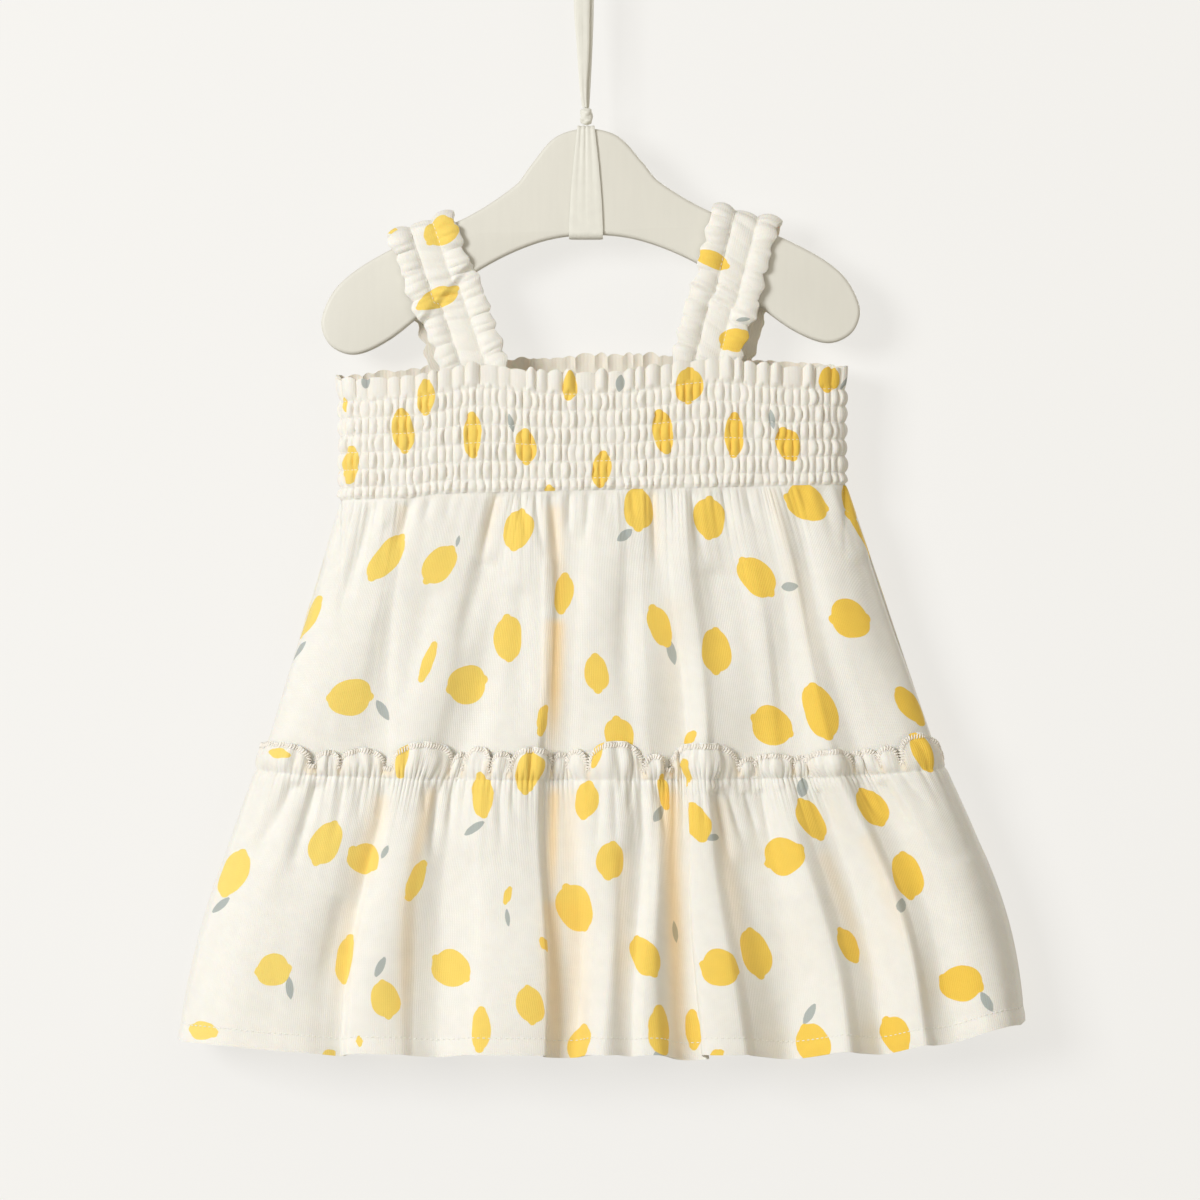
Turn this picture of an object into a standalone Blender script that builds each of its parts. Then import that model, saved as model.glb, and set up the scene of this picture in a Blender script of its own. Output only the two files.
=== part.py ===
"""A baby's smocked sundress with two gathered tiers, hung by its straps on a flat wooden hanger.

All sizes are millimetres until a mesh is made. +Z is up, +X is to the viewer's right and the
front of the dress faces -Y. The origin is the top of the ribbon's loop, where a peg holds it.
"""

import math
from collections import namedtuple

import bmesh
import bpy
import numpy as np
from mathutils import Vector

MM = 0.001

# Cloth
WALL = 1.2
SEAM_GAP = 0.3
FRONT = -1.0
BACK = 1.0

# Bodice: a flattened tube, wider than deep, shirred by rows of elastic thread
BODICE_CENTRE_X = 3.0
BODICE_HALF_WIDTH = 116.0
BODICE_FRONT_DEPTH = 15.0
BODICE_BACK_DEPTH = 10.5
RING_SQUARENESS = 3.0
RING_SAMPLES = 721
FRONT_TOP_Z = -200.6
BACK_TOP_Z = -191.5
BACK_TOP_DROP = 8.0
BODICE_SEAM_Z = -253.3
HANG_TILT = 0.024
HEADER_HEIGHT = 9.0
STITCH_ROWS = 6
LAST_ROW_ABOVE_SEAM = 0.7
SMOCK_RIDGES = 57
COLUMNS_PER_RIDGE = 2
COLUMNS_PER_HEADER_PUFF = 3
PINCHED_RELIEF = 0.45
PUFFED_RELIEF = 1.5
HEADER_RELIEF = 1.9
HEADER_FLARE = 1.1
INNER_COLUMN_STEP = 6
INNER_ROW_STEP = 6

# Where each strap lifts the front edge of the bodice
StrapPull = namedtuple("StrapPull", "x reach lift")
STRAP_PULLS = (StrapPull(-49.0, 22.0, 5.2), StrapPull(56.0, 25.0, 5.0))

# Skirt: levels 0, 1 and 2 are the bodice seam, the tier seam and the hem
TIER_SEAM_Z = -387.5
TIER_SEAM_SIDE_RISE = 4.5
TIER_RISE_POWER = 3
TIER_HALF_WIDTH = 160.0
HEM_Z = -513.5
HEM_LEFT_RISE = 11.5
HEM_RIGHT_RISE = 14.8
HEM_RISE_POWER = 5
HEM_HALF_WIDTH = 196.0
HEM_DIP_SHARE = 0.26
HEM_DIP_LIMIT = 17.0
HEM_DIP_STARTS = 3.0
PINCH_REACH = 0.09
UPPER_LEVELS = (0.0, 0.1, 0.36, 0.68, 1.0)
LOWER_LEVELS = (1.09, 1.27, 1.52, 1.77, 2.0)
HEADING_HEIGHTS = (12.5, 6.5, 0.0)
HEADING_LEAN = 0.16
HEADING_WAVE = 6.0
HEADING_DROOP = 0.3
COLUMNS_PER_RUFFLE = 6
TIER_LAP = WALL + SEAM_GAP + 0.3
LAP_REACH = 0.3
FRONT_GATHERS = 24
BACK_GATHERS = 15
COLUMNS_PER_GATHER = 4
NORMAL_FINENESS = 4
GATHER_SWELL = 0.9
GATHER_REACH = 0.16
GATHER_MEAN_SIZE = 0.7
GATHER_SIZE_SPREAD = 0.3
GATHER_SIZE_WAVES = 3.7
GATHER_SIZE_START = 0.8
GATHER_SIDE_FADE = 24.0
SEWN_ROW_SWELL = 0.4

# One row for each crown or valley that runs down the skirt. x is across, out is how far it
# stands from the plane of the side seams, at the bodice seam, the tier seam and the hem.
FoldLine = namedtuple("FoldLine", "x_bodice x_seam x_hem out_bodice out_seam out_hem")
FRONT_FOLDS = (
    FoldLine(-113.5, -156.5, -189.0, 0.0, 0.0, 0.0),
    FoldLine(-112.0, -154.0, -186.0, 7.0, 8.0, 9.0),
    FoldLine(-106.0, -140.0, -168.0, 12.5, 17.0, 21.0),
    FoldLine(-93.5, -114.5, -138.0, 15.0, 19.5, 25.0),
    FoldLine(-83.0, -94.5, -119.0, 13.0, 14.0, 14.0),
    FoldLine(-75.0, -86.0, -108.5, 15.5, 18.0, 25.0),
    FoldLine(-54.0, -74.0, -90.0, 16.0, 20.0, 28.0),
    FoldLine(-42.5, -65.0, -81.0, 13.5, 14.0, 12.5),
    FoldLine(-36.5, -56.0, -63.5, 15.5, 19.0, 25.0),
    FoldLine(-19.0, -21.0, -20.0, 17.5, 22.5, 31.5),
    FoldLine(-15.0, -13.5, -16.5, 14.0, 14.5, 12.5),
    FoldLine(-5.0, -6.0, -1.0, 14.5, 14.0, 10.5),
    FoldLine(1.5, 1.5, 3.5, 16.5, 19.0, 26.0),
    FoldLine(11.5, 14.5, 12.5, 17.0, 21.5, 29.0),
    FoldLine(17.0, 24.0, 18.5, 15.5, 17.5, 23.0),
    FoldLine(22.0, 29.0, 26.0, 16.5, 20.0, 28.0),
    FoldLine(27.5, 32.5, 35.5, 16.5, 19.5, 26.0),
    FoldLine(31.5, 39.0, 44.0, 13.0, 12.5, 8.0),
    FoldLine(36.5, 46.0, 54.0, 16.0, 19.0, 26.0),
    FoldLine(47.5, 57.5, 70.0, 17.0, 21.0, 28.5),
    FoldLine(54.5, 65.5, 89.5, 14.5, 15.0, 17.0),
    FoldLine(63.0, 83.0, 118.0, 16.0, 20.0, 26.0),
    FoldLine(71.0, 96.5, 145.0, 14.5, 15.0, 17.0),
    FoldLine(77.5, 105.5, 157.0, 16.0, 19.0, 24.0),
    FoldLine(84.5, 117.0, 168.0, 13.5, 14.5, 16.5),
    FoldLine(94.0, 131.0, 181.5, 15.0, 18.5, 23.0),
    FoldLine(111.0, 153.0, 195.0, 12.5, 16.0, 19.0),
    FoldLine(119.0, 162.5, 200.5, 7.0, 8.0, 9.5),
    FoldLine(120.5, 165.0, 203.5, 0.0, 0.0, 0.0),
)
BACK_FOLDS = (
    FoldLine(-113.5, -156.5, -189.0, 0.0, 0.0, 0.0),
    FoldLine(-111.5, -153.5, -185.5, 6.0, 7.0, 8.0),
    FoldLine(-98.0, -133.0, -160.0, 10.0, 12.5, 15.5),
    FoldLine(-84.0, -112.0, -136.0, 8.5, 8.0, 8.0),
    FoldLine(-70.0, -97.0, -112.0, 10.5, 14.0, 18.0),
    FoldLine(-55.0, -72.0, -86.0, 9.0, 8.5, 9.0),
    FoldLine(-41.0, -54.0, -66.0, 11.5, 15.0, 19.5),
    FoldLine(-27.0, -38.0, -42.0, 9.5, 8.0, 7.0),
    FoldLine(-12.0, -18.0, -17.0, 11.5, 14.5, 18.5),
    FoldLine(2.0, 4.0, 6.0, 9.5, 9.0, 9.0),
    FoldLine(16.0, 22.0, 30.0, 12.0, 15.5, 20.0),
    FoldLine(29.0, 41.0, 52.0, 9.5, 8.0, 8.0),
    FoldLine(45.0, 60.0, 76.0, 11.5, 14.0, 18.0),
    FoldLine(60.0, 80.0, 99.0, 9.5, 9.0, 9.5),
    FoldLine(76.0, 101.0, 124.0, 10.5, 14.5, 18.5),
    FoldLine(90.0, 122.0, 150.0, 8.5, 8.0, 8.5),
    FoldLine(105.0, 142.0, 177.0, 10.0, 12.0, 15.0),
    FoldLine(118.5, 162.0, 200.0, 6.0, 7.0, 8.0),
    FoldLine(120.5, 165.0, 203.5, 0.0, 0.0, 0.0),
)

# Straps: down is along the leg from the top of the hanger, out is away from its mid plane
StrapTurn = namedtuple("StrapTurn", "down out")
STRAP_PATH = (
    StrapTurn(80.0, -11.2),
    StrapTurn(66.0, -9.6),
    StrapTurn(48.0, -7.4),
    StrapTurn(30.0, -5.8),
    StrapTurn(10.0, -5.3),
    StrapTurn(3.4, -5.0),
    StrapTurn(0.0, 0.0),
    StrapTurn(3.4, 5.0),
    StrapTurn(10.0, 5.4),
    StrapTurn(34.0, 5.4),
    StrapTurn(58.0, 6.4),
    StrapTurn(74.0, 7.4),
)
Strap = namedtuple("Strap", "name top_x top_z lean_degrees back_shift first_lobe")
STRAPS = (
    Strap("strap_left", -75.6, -130.2, -18.8, -1.5, 0.15),
    Strap("strap_right", 73.8, -125.8, 14.3, 4.0, 0.6),
)
STRAP_WIDTH = 31.0
STRAP_STATIONS = 34
STRAP_PATH_SAMPLES = 400
STRAP_SHIFT_STATIONS = 8.0
STRAP_LOBE = 13.0
STRAP_LOBE_PUFF = 0.3
STRAP_EDGE_SWING = 0.07
TUCKED_STATIONS = 3
TUCKED_PUFF = 0.35
RUFFLE_STARTS = 0.5
StrapColumn = namedtuple("StrapColumn", "across relief")
STRAP_COLUMNS = (
    StrapColumn(-1.0, 0.2),
    StrapColumn(-0.7, 1.7),
    StrapColumn(-0.36, 0.2),
    StrapColumn(-0.18, 0.9),
    StrapColumn(0.18, 0.9),
    StrapColumn(0.36, 0.2),
    StrapColumn(0.7, 1.7),
    StrapColumn(1.0, 0.2),
)

# Hanger: half of its outline, from the top of the hump round the end to the lower middle
HANGER_TOP_Z = -85.6
HANGER_TILT_DEGREES = 1.4
HANGER_THICKNESS = 8.0
HANGER_EDGE_RADIUS = 1.8
HANGER_STEPS = 2
HANGER_SAMPLES = 2000
OutlinePoint = namedtuple("OutlinePoint", "x down")
HANGER_HALF = (
    OutlinePoint(0.0, 0.0),
    OutlinePoint(14.5, 3.8),
    OutlinePoint(26.2, 16.6),
    OutlinePoint(33.3, 25.4),
    OutlinePoint(56.5, 39.8),
    OutlinePoint(89.7, 52.8),
    OutlinePoint(115.8, 69.0),
    OutlinePoint(125.1, 85.9),
    OutlinePoint(121.5, 97.5),
    OutlinePoint(110.2, 102.2),
    OutlinePoint(95.0, 96.5),
    OutlinePoint(78.1, 84.1),
    OutlinePoint(51.6, 64.6),
    OutlinePoint(24.0, 52.4),
    OutlinePoint(0.0, 49.2),
)

# Ribbon: a band round the board, a knot on top, two strands and the loop on the peg
RIBBON_WALL = 1.0
BAND_CLEARANCE = 0.3
BAND_TOP_Z = -85.4
BAND_BOTTOM_Z = -135.6
BAND_WIDTH_BELOW = 15.8
BAND_WIDTH_ABOVE = 8.0
BAND_TAPER = 1.6
BAND_CORNER_STEPS = 3
BAND_SIDE_STEPS = 4
KNOT_CENTRE = (0.2, 0.0, -79.7)
KNOT_HALF_SIZES = (3.5, 3.3, 4.0)
KNOT_WAIST = 0.22
KNOT_WAIST_SHARPNESS = 3.0
KNOT_SEGMENTS = 14
KNOT_RINGS = 9
StrandStation = namedtuple("StrandStation", "x y z width")
RIBBON_STATIONS = (
    StrandStation(-0.6, -0.8, -75.6, 2.4),
    StrandStation(-1.2, -0.9, -67.5, 3.3),
    StrandStation(-1.4, -1.0, -48.8, 5.6),
    StrandStation(-2.0, -1.0, -25.6, 7.4),
    StrandStation(-1.2, -1.0, -13.6, 6.4),
)
STRAND_STATIONS = (
    StrandStation(0.5, 1.0, -75.6, 2.0),
    StrandStation(0.9, 1.0, -66.0, 2.4),
    StrandStation(1.6, 1.0, -45.0, 3.0),
    StrandStation(1.8, 1.0, -25.6, 3.6),
    StrandStation(1.0, 1.0, -13.6, 3.6),
)
STRAND_STEPS = 12
LOOP_HEIGHT = 13.2
LOOP_HALF_WIDTH = 5.0
LOOP_DEPTH = 6.0
LOOP_STEPS = 16


def clear_scene():
    """Remove every object that the scene holds."""
    for found in list(bpy.data.objects):
        bpy.data.objects.remove(found, do_unlink=True)


def make_material(name, colour, roughness):
    """A plain material with a colour and a roughness."""
    material = bpy.data.materials.new(name)
    material.use_nodes = True
    shader = material.node_tree.nodes["Principled BSDF"]
    shader.inputs["Base Color"].default_value = (*colour, 1.0)
    shader.inputs["Roughness"].default_value = roughness
    shader.inputs["Metallic"].default_value = 0.0
    return material


def add_object(name, bm, material, sharp_degrees=50.0):
    """Turn a closed bmesh, built in millimetres, into an object in metres."""
    bmesh.ops.recalc_face_normals(bm, faces=bm.faces)
    bmesh.ops.scale(bm, vec=(MM, MM, MM), verts=bm.verts)
    mesh = bpy.data.meshes.new(name)
    bm.to_mesh(mesh)
    bm.free()
    mesh.materials.append(material)
    mesh.shade_smooth()
    mesh.set_sharp_from_angle(angle=math.radians(sharp_degrees))
    piece = bpy.data.objects.new(name, mesh)
    bpy.context.scene.collection.objects.link(piece)
    return piece


def through(points, knots, at):
    """A smooth curve through points, one for each knot, read at the given knot values."""
    points = np.asarray(points, float)
    slopes = np.empty_like(points)
    slopes[1:-1] = (points[2:] - points[:-2]) / (knots[2:] - knots[:-2])[:, None]
    slopes[0] = (points[1] - points[0]) / (knots[1] - knots[0])
    slopes[-1] = (points[-1] - points[-2]) / (knots[-1] - knots[-2])
    span = np.clip(np.searchsorted(knots, at, side="right") - 1, 0, len(knots) - 2)
    length = (knots[span + 1] - knots[span])[:, None]
    t = ((at - knots[span]) / (knots[span + 1] - knots[span]))[:, None]
    start, end = points[span], points[span + 1]
    return (
        start * (2 * t**3 - 3 * t**2 + 1)
        + slopes[span] * length * (t**3 - 2 * t**2 + t)
        + end * (3 * t**2 - 2 * t**3)
        + slopes[span + 1] * length * (t**3 - t**2)
    )


def chord_shares(points):
    """How far along its own length each point of a line lies, from 0 to 1."""
    steps = np.linalg.norm(np.diff(np.asarray(points, float), axis=0), axis=1)
    along = np.concatenate([[0.0], np.cumsum(steps)])
    return along / along[-1]


def evenly(points, count):
    """count + 1 points at even distances along a line."""
    shares = chord_shares(points)
    wanted = np.linspace(0.0, 1.0, count + 1)
    points = np.asarray(points, float)
    return np.column_stack([np.interp(wanted, shares, axis) for axis in points.T])


def outward_normals(grid, side):
    """Unit normals of a grid of points, facing the front (side -1) or the back (side 1)."""
    across = np.gradient(grid, axis=1)
    down = np.gradient(grid, axis=0)
    normals = np.cross(across, down) * side
    return normals / np.linalg.norm(normals, axis=2, keepdims=True)


def close_rim(bm, first, second):
    """Join two edge lines by triangles; either line may have fewer points."""
    i = j = 0
    last_i, last_j = len(first) - 1, len(second) - 1
    while i < last_i or j < last_j:
        if j == last_j or (i < last_i and (i + 1) * last_j <= (j + 1) * last_i):
            bm.faces.new((first[i], first[i + 1], second[j]))
            i += 1
        else:
            bm.faces.new((first[i], second[j + 1], second[j]))
            j += 1


def closed_wall(name, outer, inner, material):
    """One closed solid between an outer grid of points and an inner one, which may be coarser."""
    bm = bmesh.new()
    skins = [[[bm.verts.new(Vector(p)) for p in row] for row in grid] for grid in (outer, inner)]
    for skin in skins:
        for above, below in zip(skin, skin[1:]):
            for corners in zip(above, above[1:], below[1:], below):
                bm.faces.new(corners)
    out_skin, in_skin = skins
    close_rim(bm, out_skin[0], in_skin[0])
    close_rim(bm, out_skin[-1], in_skin[-1])
    for column in (0, -1):
        close_rim(bm, [row[column] for row in out_skin], [row[column] for row in in_skin])
    return add_object(name, bm, material)


def end_on_side_seams(grid, side):
    """Bring both ends of every row to the side seams' gap, and keep the rest on its own side."""
    grid[..., 1] = side * np.maximum(side * grid[..., 1], SEAM_GAP / 2)
    for column in (0, -1):
        grid[:, column, 1] = side * SEAM_GAP / 2
    return grid


def tilt(x):
    """How much higher the dress hangs at x, because the hanger tilts."""
    return HANG_TILT * (x - BODICE_CENTRE_X)


def seam_z(x):
    """Height of the seam between bodice and skirt."""
    return BODICE_SEAM_Z + tilt(x)


def ring_depth(x, depth):
    """How far the bodice's flattened tube stands out at x."""
    share = np.clip(np.abs(x - BODICE_CENTRE_X) / BODICE_HALF_WIDTH, 0.0, 1.0)
    return depth * (1.0 - share**RING_SQUARENESS) ** (1.0 / RING_SQUARENESS)


def bodice_top_z(x, side):
    """Height of the header's edge: lifted at the straps in front, arched at the back."""
    if side == BACK:
        return BACK_TOP_Z + tilt(x) - BACK_TOP_DROP * ((x - BODICE_CENTRE_X) / BODICE_HALF_WIDTH) ** 2
    lift = sum(pull.lift * np.exp(-(((x - pull.x) / pull.reach) ** 2)) for pull in STRAP_PULLS)
    return FRONT_TOP_Z + tilt(x) + lift


def bodice_ring(side, columns):
    """Half of the bodice's tube as x and y, evenly spaced from the left to the right seam."""
    depth = BODICE_FRONT_DEPTH if side == FRONT else BODICE_BACK_DEPTH
    turn = np.linspace(math.pi, 0.0, RING_SAMPLES)
    power = 2.0 / RING_SQUARENESS
    x = BODICE_CENTRE_X + BODICE_HALF_WIDTH * np.sign(np.cos(turn)) * np.abs(np.cos(turn)) ** power
    y = side * depth * np.abs(np.sin(turn)) ** power
    return evenly(np.column_stack([x, y]), columns)


def bodice_rows():
    """Share of the height, relief, columns to a puff and flare of each row of the smocking."""
    height = FRONT_TOP_Z - BODICE_SEAM_Z
    pitch = (height - HEADER_HEIGHT) / (STITCH_ROWS - 1 + LAST_ROW_ABOVE_SEAM)
    rows = [(0.0, HEADER_RELIEF, COLUMNS_PER_HEADER_PUFF, HEADER_FLARE)]
    for row in range(STITCH_ROWS):
        pinched = (HEADER_HEIGHT + row * pitch) / height
        puffed = (HEADER_HEIGHT + (row + 0.5) * pitch) / height
        if row == STITCH_ROWS - 1:
            puffed = 1.0
        rows.append((pinched, PINCHED_RELIEF, COLUMNS_PER_RIDGE, 0.0))
        rows.append((puffed, PUFFED_RELIEF, COLUMNS_PER_RIDGE, 0.0))
    return rows


def make_bodice(name, side, material):
    """A smocked panel: puffs raised on the outside between the stitch rows, plain inside."""
    columns = SMOCK_RIDGES * COLUMNS_PER_RIDGE
    ring = bodice_ring(side, columns)
    top = bodice_top_z(ring[:, 0], side)
    bottom = seam_z(ring[:, 0]) + SEAM_GAP / 2
    middle = []
    relief = []
    for share, height, columns_per_puff, flare in bodice_rows():
        place = np.arange(columns + 1) % columns_per_puff
        relief.append(np.where(place == 0, 0.0, height) + flare)
        middle.append(np.column_stack([ring, top + (bottom - top) * share]))
    middle = np.array(middle)
    normals = outward_normals(middle, side)
    normals[..., 2] = 0.0
    raised = WALL / 2 + np.array(relief)[..., None]
    outer = end_on_side_seams(middle + normals * raised, side)
    inner = end_on_side_seams(middle - normals * WALL / 2, side)
    inner = inner[::INNER_ROW_STEP, ::INNER_COLUMN_STEP]
    return closed_wall(name, outer, inner, material)


def fold_rail(folds, level):
    """x and out of every fold line at a level: 0 bodice seam, 1 tier seam, 2 hem."""
    table = np.array(folds)
    tier = min(int(level), 1)
    share = level - tier
    x = table[:, tier] + (table[:, tier + 1] - table[:, tier]) * share
    out = table[:, 3 + tier] + (table[:, 4 + tier] - table[:, 3 + tier]) * share
    return x, out


def hem_z(x, out, folds):
    """Height of the hem: it rises to the sides and dips where the cloth folds inwards."""
    rise = np.where(x < 0, HEM_LEFT_RISE, HEM_RIGHT_RISE) * np.abs(x / HEM_HALF_WIDTH) ** HEM_RISE_POWER
    furthest = max(fold.out_hem for fold in folds)
    dip = HEM_DIP_SHARE * np.clip(furthest - HEM_DIP_STARTS - out, 0.0, HEM_DIP_LIMIT)
    return HEM_Z + rise - dip


def skirt_row(folds, side, level, shares):
    """Points of the skirt's middle surface at one level."""
    hem = np.column_stack(fold_rail(folds, 2.0))
    knots = chord_shares(hem)
    rail = through(np.column_stack(fold_rail(folds, level)), knots, shares)
    x, out = rail.T
    x_hem, out_hem = through(hem, knots, shares).T
    depth = BODICE_FRONT_DEPTH if side == FRONT else BODICE_BACK_DEPTH
    pinch = math.exp(-level / PINCH_REACH)
    out = out * (1.0 - pinch) + ring_depth(x, depth) * pinch
    side_rise = TIER_SEAM_SIDE_RISE * np.abs(x / TIER_HALF_WIDTH) ** TIER_RISE_POWER
    tier_z = TIER_SEAM_Z + side_rise
    if level <= 1.0:
        top = seam_z(x) - SEAM_GAP / 2
        z = top + (tier_z - top) * level
    else:
        z = tier_z + (hem_z(x_hem, out_hem, folds) - tier_z) * (level - 1.0)
    return np.column_stack([x, side * out, z])


def fine_normals(folds, side, levels, columns):
    """Outward normals of the skirt's smooth folds, worked out finer than the wall's columns."""
    fine = np.linspace(0.0, 1.0, columns * NORMAL_FINENESS + 1)
    grid = np.array([skirt_row(folds, side, level, fine) for level in levels])
    return outward_normals(grid, side)[:, ::NORMAL_FINENESS]


def gather_wave(shares, count, reach):
    """Uneven small gathers across a seam, from 0 to about 1, fading with reach."""
    turn = 2.0 * math.pi * GATHER_SIZE_WAVES * shares + GATHER_SIZE_START
    uneven = GATHER_MEAN_SIZE + GATHER_SIZE_SPREAD * np.sin(turn)
    edges = np.clip(np.minimum(shares, 1.0 - shares) * GATHER_SIDE_FADE, 0.0, 1.0)
    return (0.5 - 0.5 * np.cos(2.0 * math.pi * count * shares)) * uneven * edges * reach


def make_upper_tier(name, side, folds, gathers, material):
    """The gathered panel between the bodice and the tier seam."""
    columns = gathers * COLUMNS_PER_GATHER
    shares = np.linspace(0.0, 1.0, columns + 1)
    middle = np.array([skirt_row(folds, side, level, shares) for level in UPPER_LEVELS])
    normals = fine_normals(folds, side, UPPER_LEVELS, columns)
    for row, level in enumerate(UPPER_LEVELS):
        swell = GATHER_SWELL * gather_wave(shares, gathers, math.exp(-level / GATHER_REACH))
        held = 1.0 if row else SEWN_ROW_SWELL
        middle[row] -= normals[row] * swell[:, None] * held
    outer = end_on_side_seams(middle + normals * WALL / 2, side)
    inner = end_on_side_seams(middle - normals * WALL / 2, side)
    return closed_wall(name, outer, inner, material)


def make_lower_tier(name, side, folds, gathers, material):
    """The lower panel: a ruffled heading that stands over the tier seam, then the full fall."""
    columns = gathers * COLUMNS_PER_GATHER
    shares = np.linspace(0.0, 1.0, columns + 1)
    tier_height = BODICE_SEAM_Z - TIER_SEAM_Z
    heading_levels = [1.0 - height / tier_height for height in HEADING_HEIGHTS]
    levels = heading_levels + list(LOWER_LEVELS)
    middle = np.array([skirt_row(folds, side, level, shares) for level in levels])
    normals = fine_normals(folds, side, levels, columns)
    wave = gather_wave(shares, gathers, 1.0)
    ruffle = gather_wave(shares, columns // COLUMNS_PER_RUFFLE, 1.0)
    for row, level in enumerate(levels):
        below = max(0.0, level - 1.0)
        height = HEADING_HEIGHTS[row] if row < len(HEADING_HEIGHTS) else 0.0
        lap = TIER_LAP * max(0.0, 1.0 - below / LAP_REACH)
        swell = GATHER_SWELL * wave * math.exp(-below / GATHER_REACH)
        stand = height * HEADING_LEAN + HEADING_WAVE * ruffle * height / HEADING_HEIGHTS[0]
        middle[row] += normals[row] * (lap + swell + stand)[:, None]
        middle[row, :, 2] -= HEADING_DROOP * ruffle * height
    outer = end_on_side_seams(middle + normals * WALL / 2, side)
    inner = end_on_side_seams(middle - normals * WALL / 2, side)
    return closed_wall(name, outer, inner, material)


def make_strap(strap, material):
    """A shirred strap over the hanger: a ruffle each side of a flat channel, plain inside."""
    path = np.array(STRAP_PATH)
    fine = through(path, chord_shares(path), np.linspace(0.0, 1.0, STRAP_PATH_SAMPLES))
    line = evenly(fine, STRAP_STATIONS - 1)
    tangent = np.gradient(line, axis=0)
    tangent /= np.linalg.norm(tangent, axis=1, keepdims=True)
    lean = math.radians(strap.lean_degrees)
    leg = np.array([-math.sin(lean), 0.0, -math.cos(lean)])
    across = np.array([math.cos(lean), 0.0, -math.sin(lean)])
    top = np.array([strap.top_x, 0.0, strap.top_z])
    travelled = chord_shares(line) * np.linalg.norm(np.diff(line, axis=0), axis=1).sum()
    over = np.argmin(line[:, 0])
    behind = (np.arange(STRAP_STATIONS) - over) / STRAP_SHIFT_STATIONS
    shift = strap.back_shift * np.clip(behind, 0.0, 1.0)
    outer = []
    inner = []
    for station, (down, out) in enumerate(line):
        facing = -tangent[station, 1] * leg + tangent[station, 0] * np.array([0.0, 1.0, 0.0])
        centre = top + leg * down + across * shift[station] + np.array([0.0, out, 0.0])
        lobe = math.cos(2.0 * math.pi * (travelled[station] / STRAP_LOBE + strap.first_lobe))
        tucked = min(station, STRAP_STATIONS - 1 - station) < TUCKED_STATIONS
        puffing = TUCKED_PUFF if tucked else 1.0 + STRAP_LOBE_PUFF * lobe
        row = []
        for column in STRAP_COLUMNS:
            ruffled = 1.0 + STRAP_EDGE_SWING * lobe * (abs(column.across) > RUFFLE_STARTS)
            reach = column.across * ruffled * STRAP_WIDTH / 2
            row.append(centre + across * reach + facing * (WALL / 2 + column.relief * puffing))
        outer.append(row)
        edges = (row[0], row[-1])
        inner.append([p - facing * (WALL + STRAP_COLUMNS[0].relief * puffing) for p in edges])
    return closed_wall(strap.name, outer, inner, material)


def hanger_outline():
    """The board's outline as x and z, mirrored, smooth and tilted."""
    half = np.array(HANGER_HALF)
    left = half[-2:0:-1] * (-1.0, 1.0)
    loop = np.vstack([half, left])
    padded = np.vstack([loop[-2:], loop, loop[:3]])
    steps = np.linalg.norm(np.diff(padded, axis=0), axis=1)
    knots = np.concatenate([[0.0], np.cumsum(steps)])
    first, last = knots[2], knots[2 + len(loop)]
    fine = through(padded, knots, np.linspace(first, last, HANGER_SAMPLES))
    smooth = evenly(fine, len(loop) * HANGER_STEPS)[:-1]
    angle = math.radians(HANGER_TILT_DEGREES)
    x = smooth[:, 0] * math.cos(angle) + smooth[:, 1] * math.sin(angle)
    z = HANGER_TOP_Z - smooth[:, 1] * math.cos(angle) + smooth[:, 0] * math.sin(angle)
    return np.column_stack([x, z])


def make_hanger(material):
    """A flat board with its edges rounded."""
    outline = hanger_outline()
    along = np.roll(outline, -1, axis=0) - np.roll(outline, 1, axis=0)
    along /= np.linalg.norm(along, axis=1, keepdims=True)
    inward = np.column_stack([along[:, 1], -along[:, 0]])
    half = HANGER_THICKNESS / 2
    eased = HANGER_EDGE_RADIUS * (1.0 - math.sqrt(0.5))
    sections = (
        (-half, HANGER_EDGE_RADIUS),
        (-half + eased, eased),
        (-half + HANGER_EDGE_RADIUS, 0.0),
        (half - HANGER_EDGE_RADIUS, 0.0),
        (half - eased, eased),
        (half, HANGER_EDGE_RADIUS),
    )
    bm = bmesh.new()
    rings = []
    for y, inset in sections:
        ring = outline + inward * inset
        rings.append([bm.verts.new((x, y, z)) for x, z in ring])
    for near, far in zip(rings, rings[1:]):
        for i in range(len(near)):
            bm.faces.new((near[i - 1], near[i], far[i], far[i - 1]))
    bm.faces.new(rings[0])
    bm.faces.new(rings[-1])
    return add_object("hanger", bm, material, sharp_degrees=40.0)


def band_path():
    """Inner line of the ribbon round the board, as y, z and outward direction."""
    reach_y = HANGER_THICKNESS / 2 + BAND_CLEARANCE
    corner = HANGER_EDGE_RADIUS + BAND_CLEARANCE
    top = BAND_TOP_Z + BAND_CLEARANCE
    bottom = BAND_BOTTOM_Z - BAND_CLEARANCE
    corners = ((-1, top, 1), (1, top, 1), (1, bottom, -1), (-1, bottom, -1))
    starts = (180.0, 90.0, 0.0, -90.0)
    path = []
    for (side, z, up), start in zip(corners, starts):
        centre = np.array([side * (reach_y - corner), z - up * corner])
        for step in range(BAND_CORNER_STEPS + 1):
            angle = math.radians(start - 90.0 * step / BAND_CORNER_STEPS)
            facing = np.array([math.cos(angle), math.sin(angle)])
            path.append((centre + facing * corner, facing))
        if side == up:
            start_z = centre[1]
            end_z = bottom + corner if up == 1 else top - corner
            for step in range(1, BAND_SIDE_STEPS):
                z_here = start_z + (end_z - start_z) * step / BAND_SIDE_STEPS
                path.append((np.array([side * reach_y, z_here]), np.array([side, 0.0])))
    return path


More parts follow.
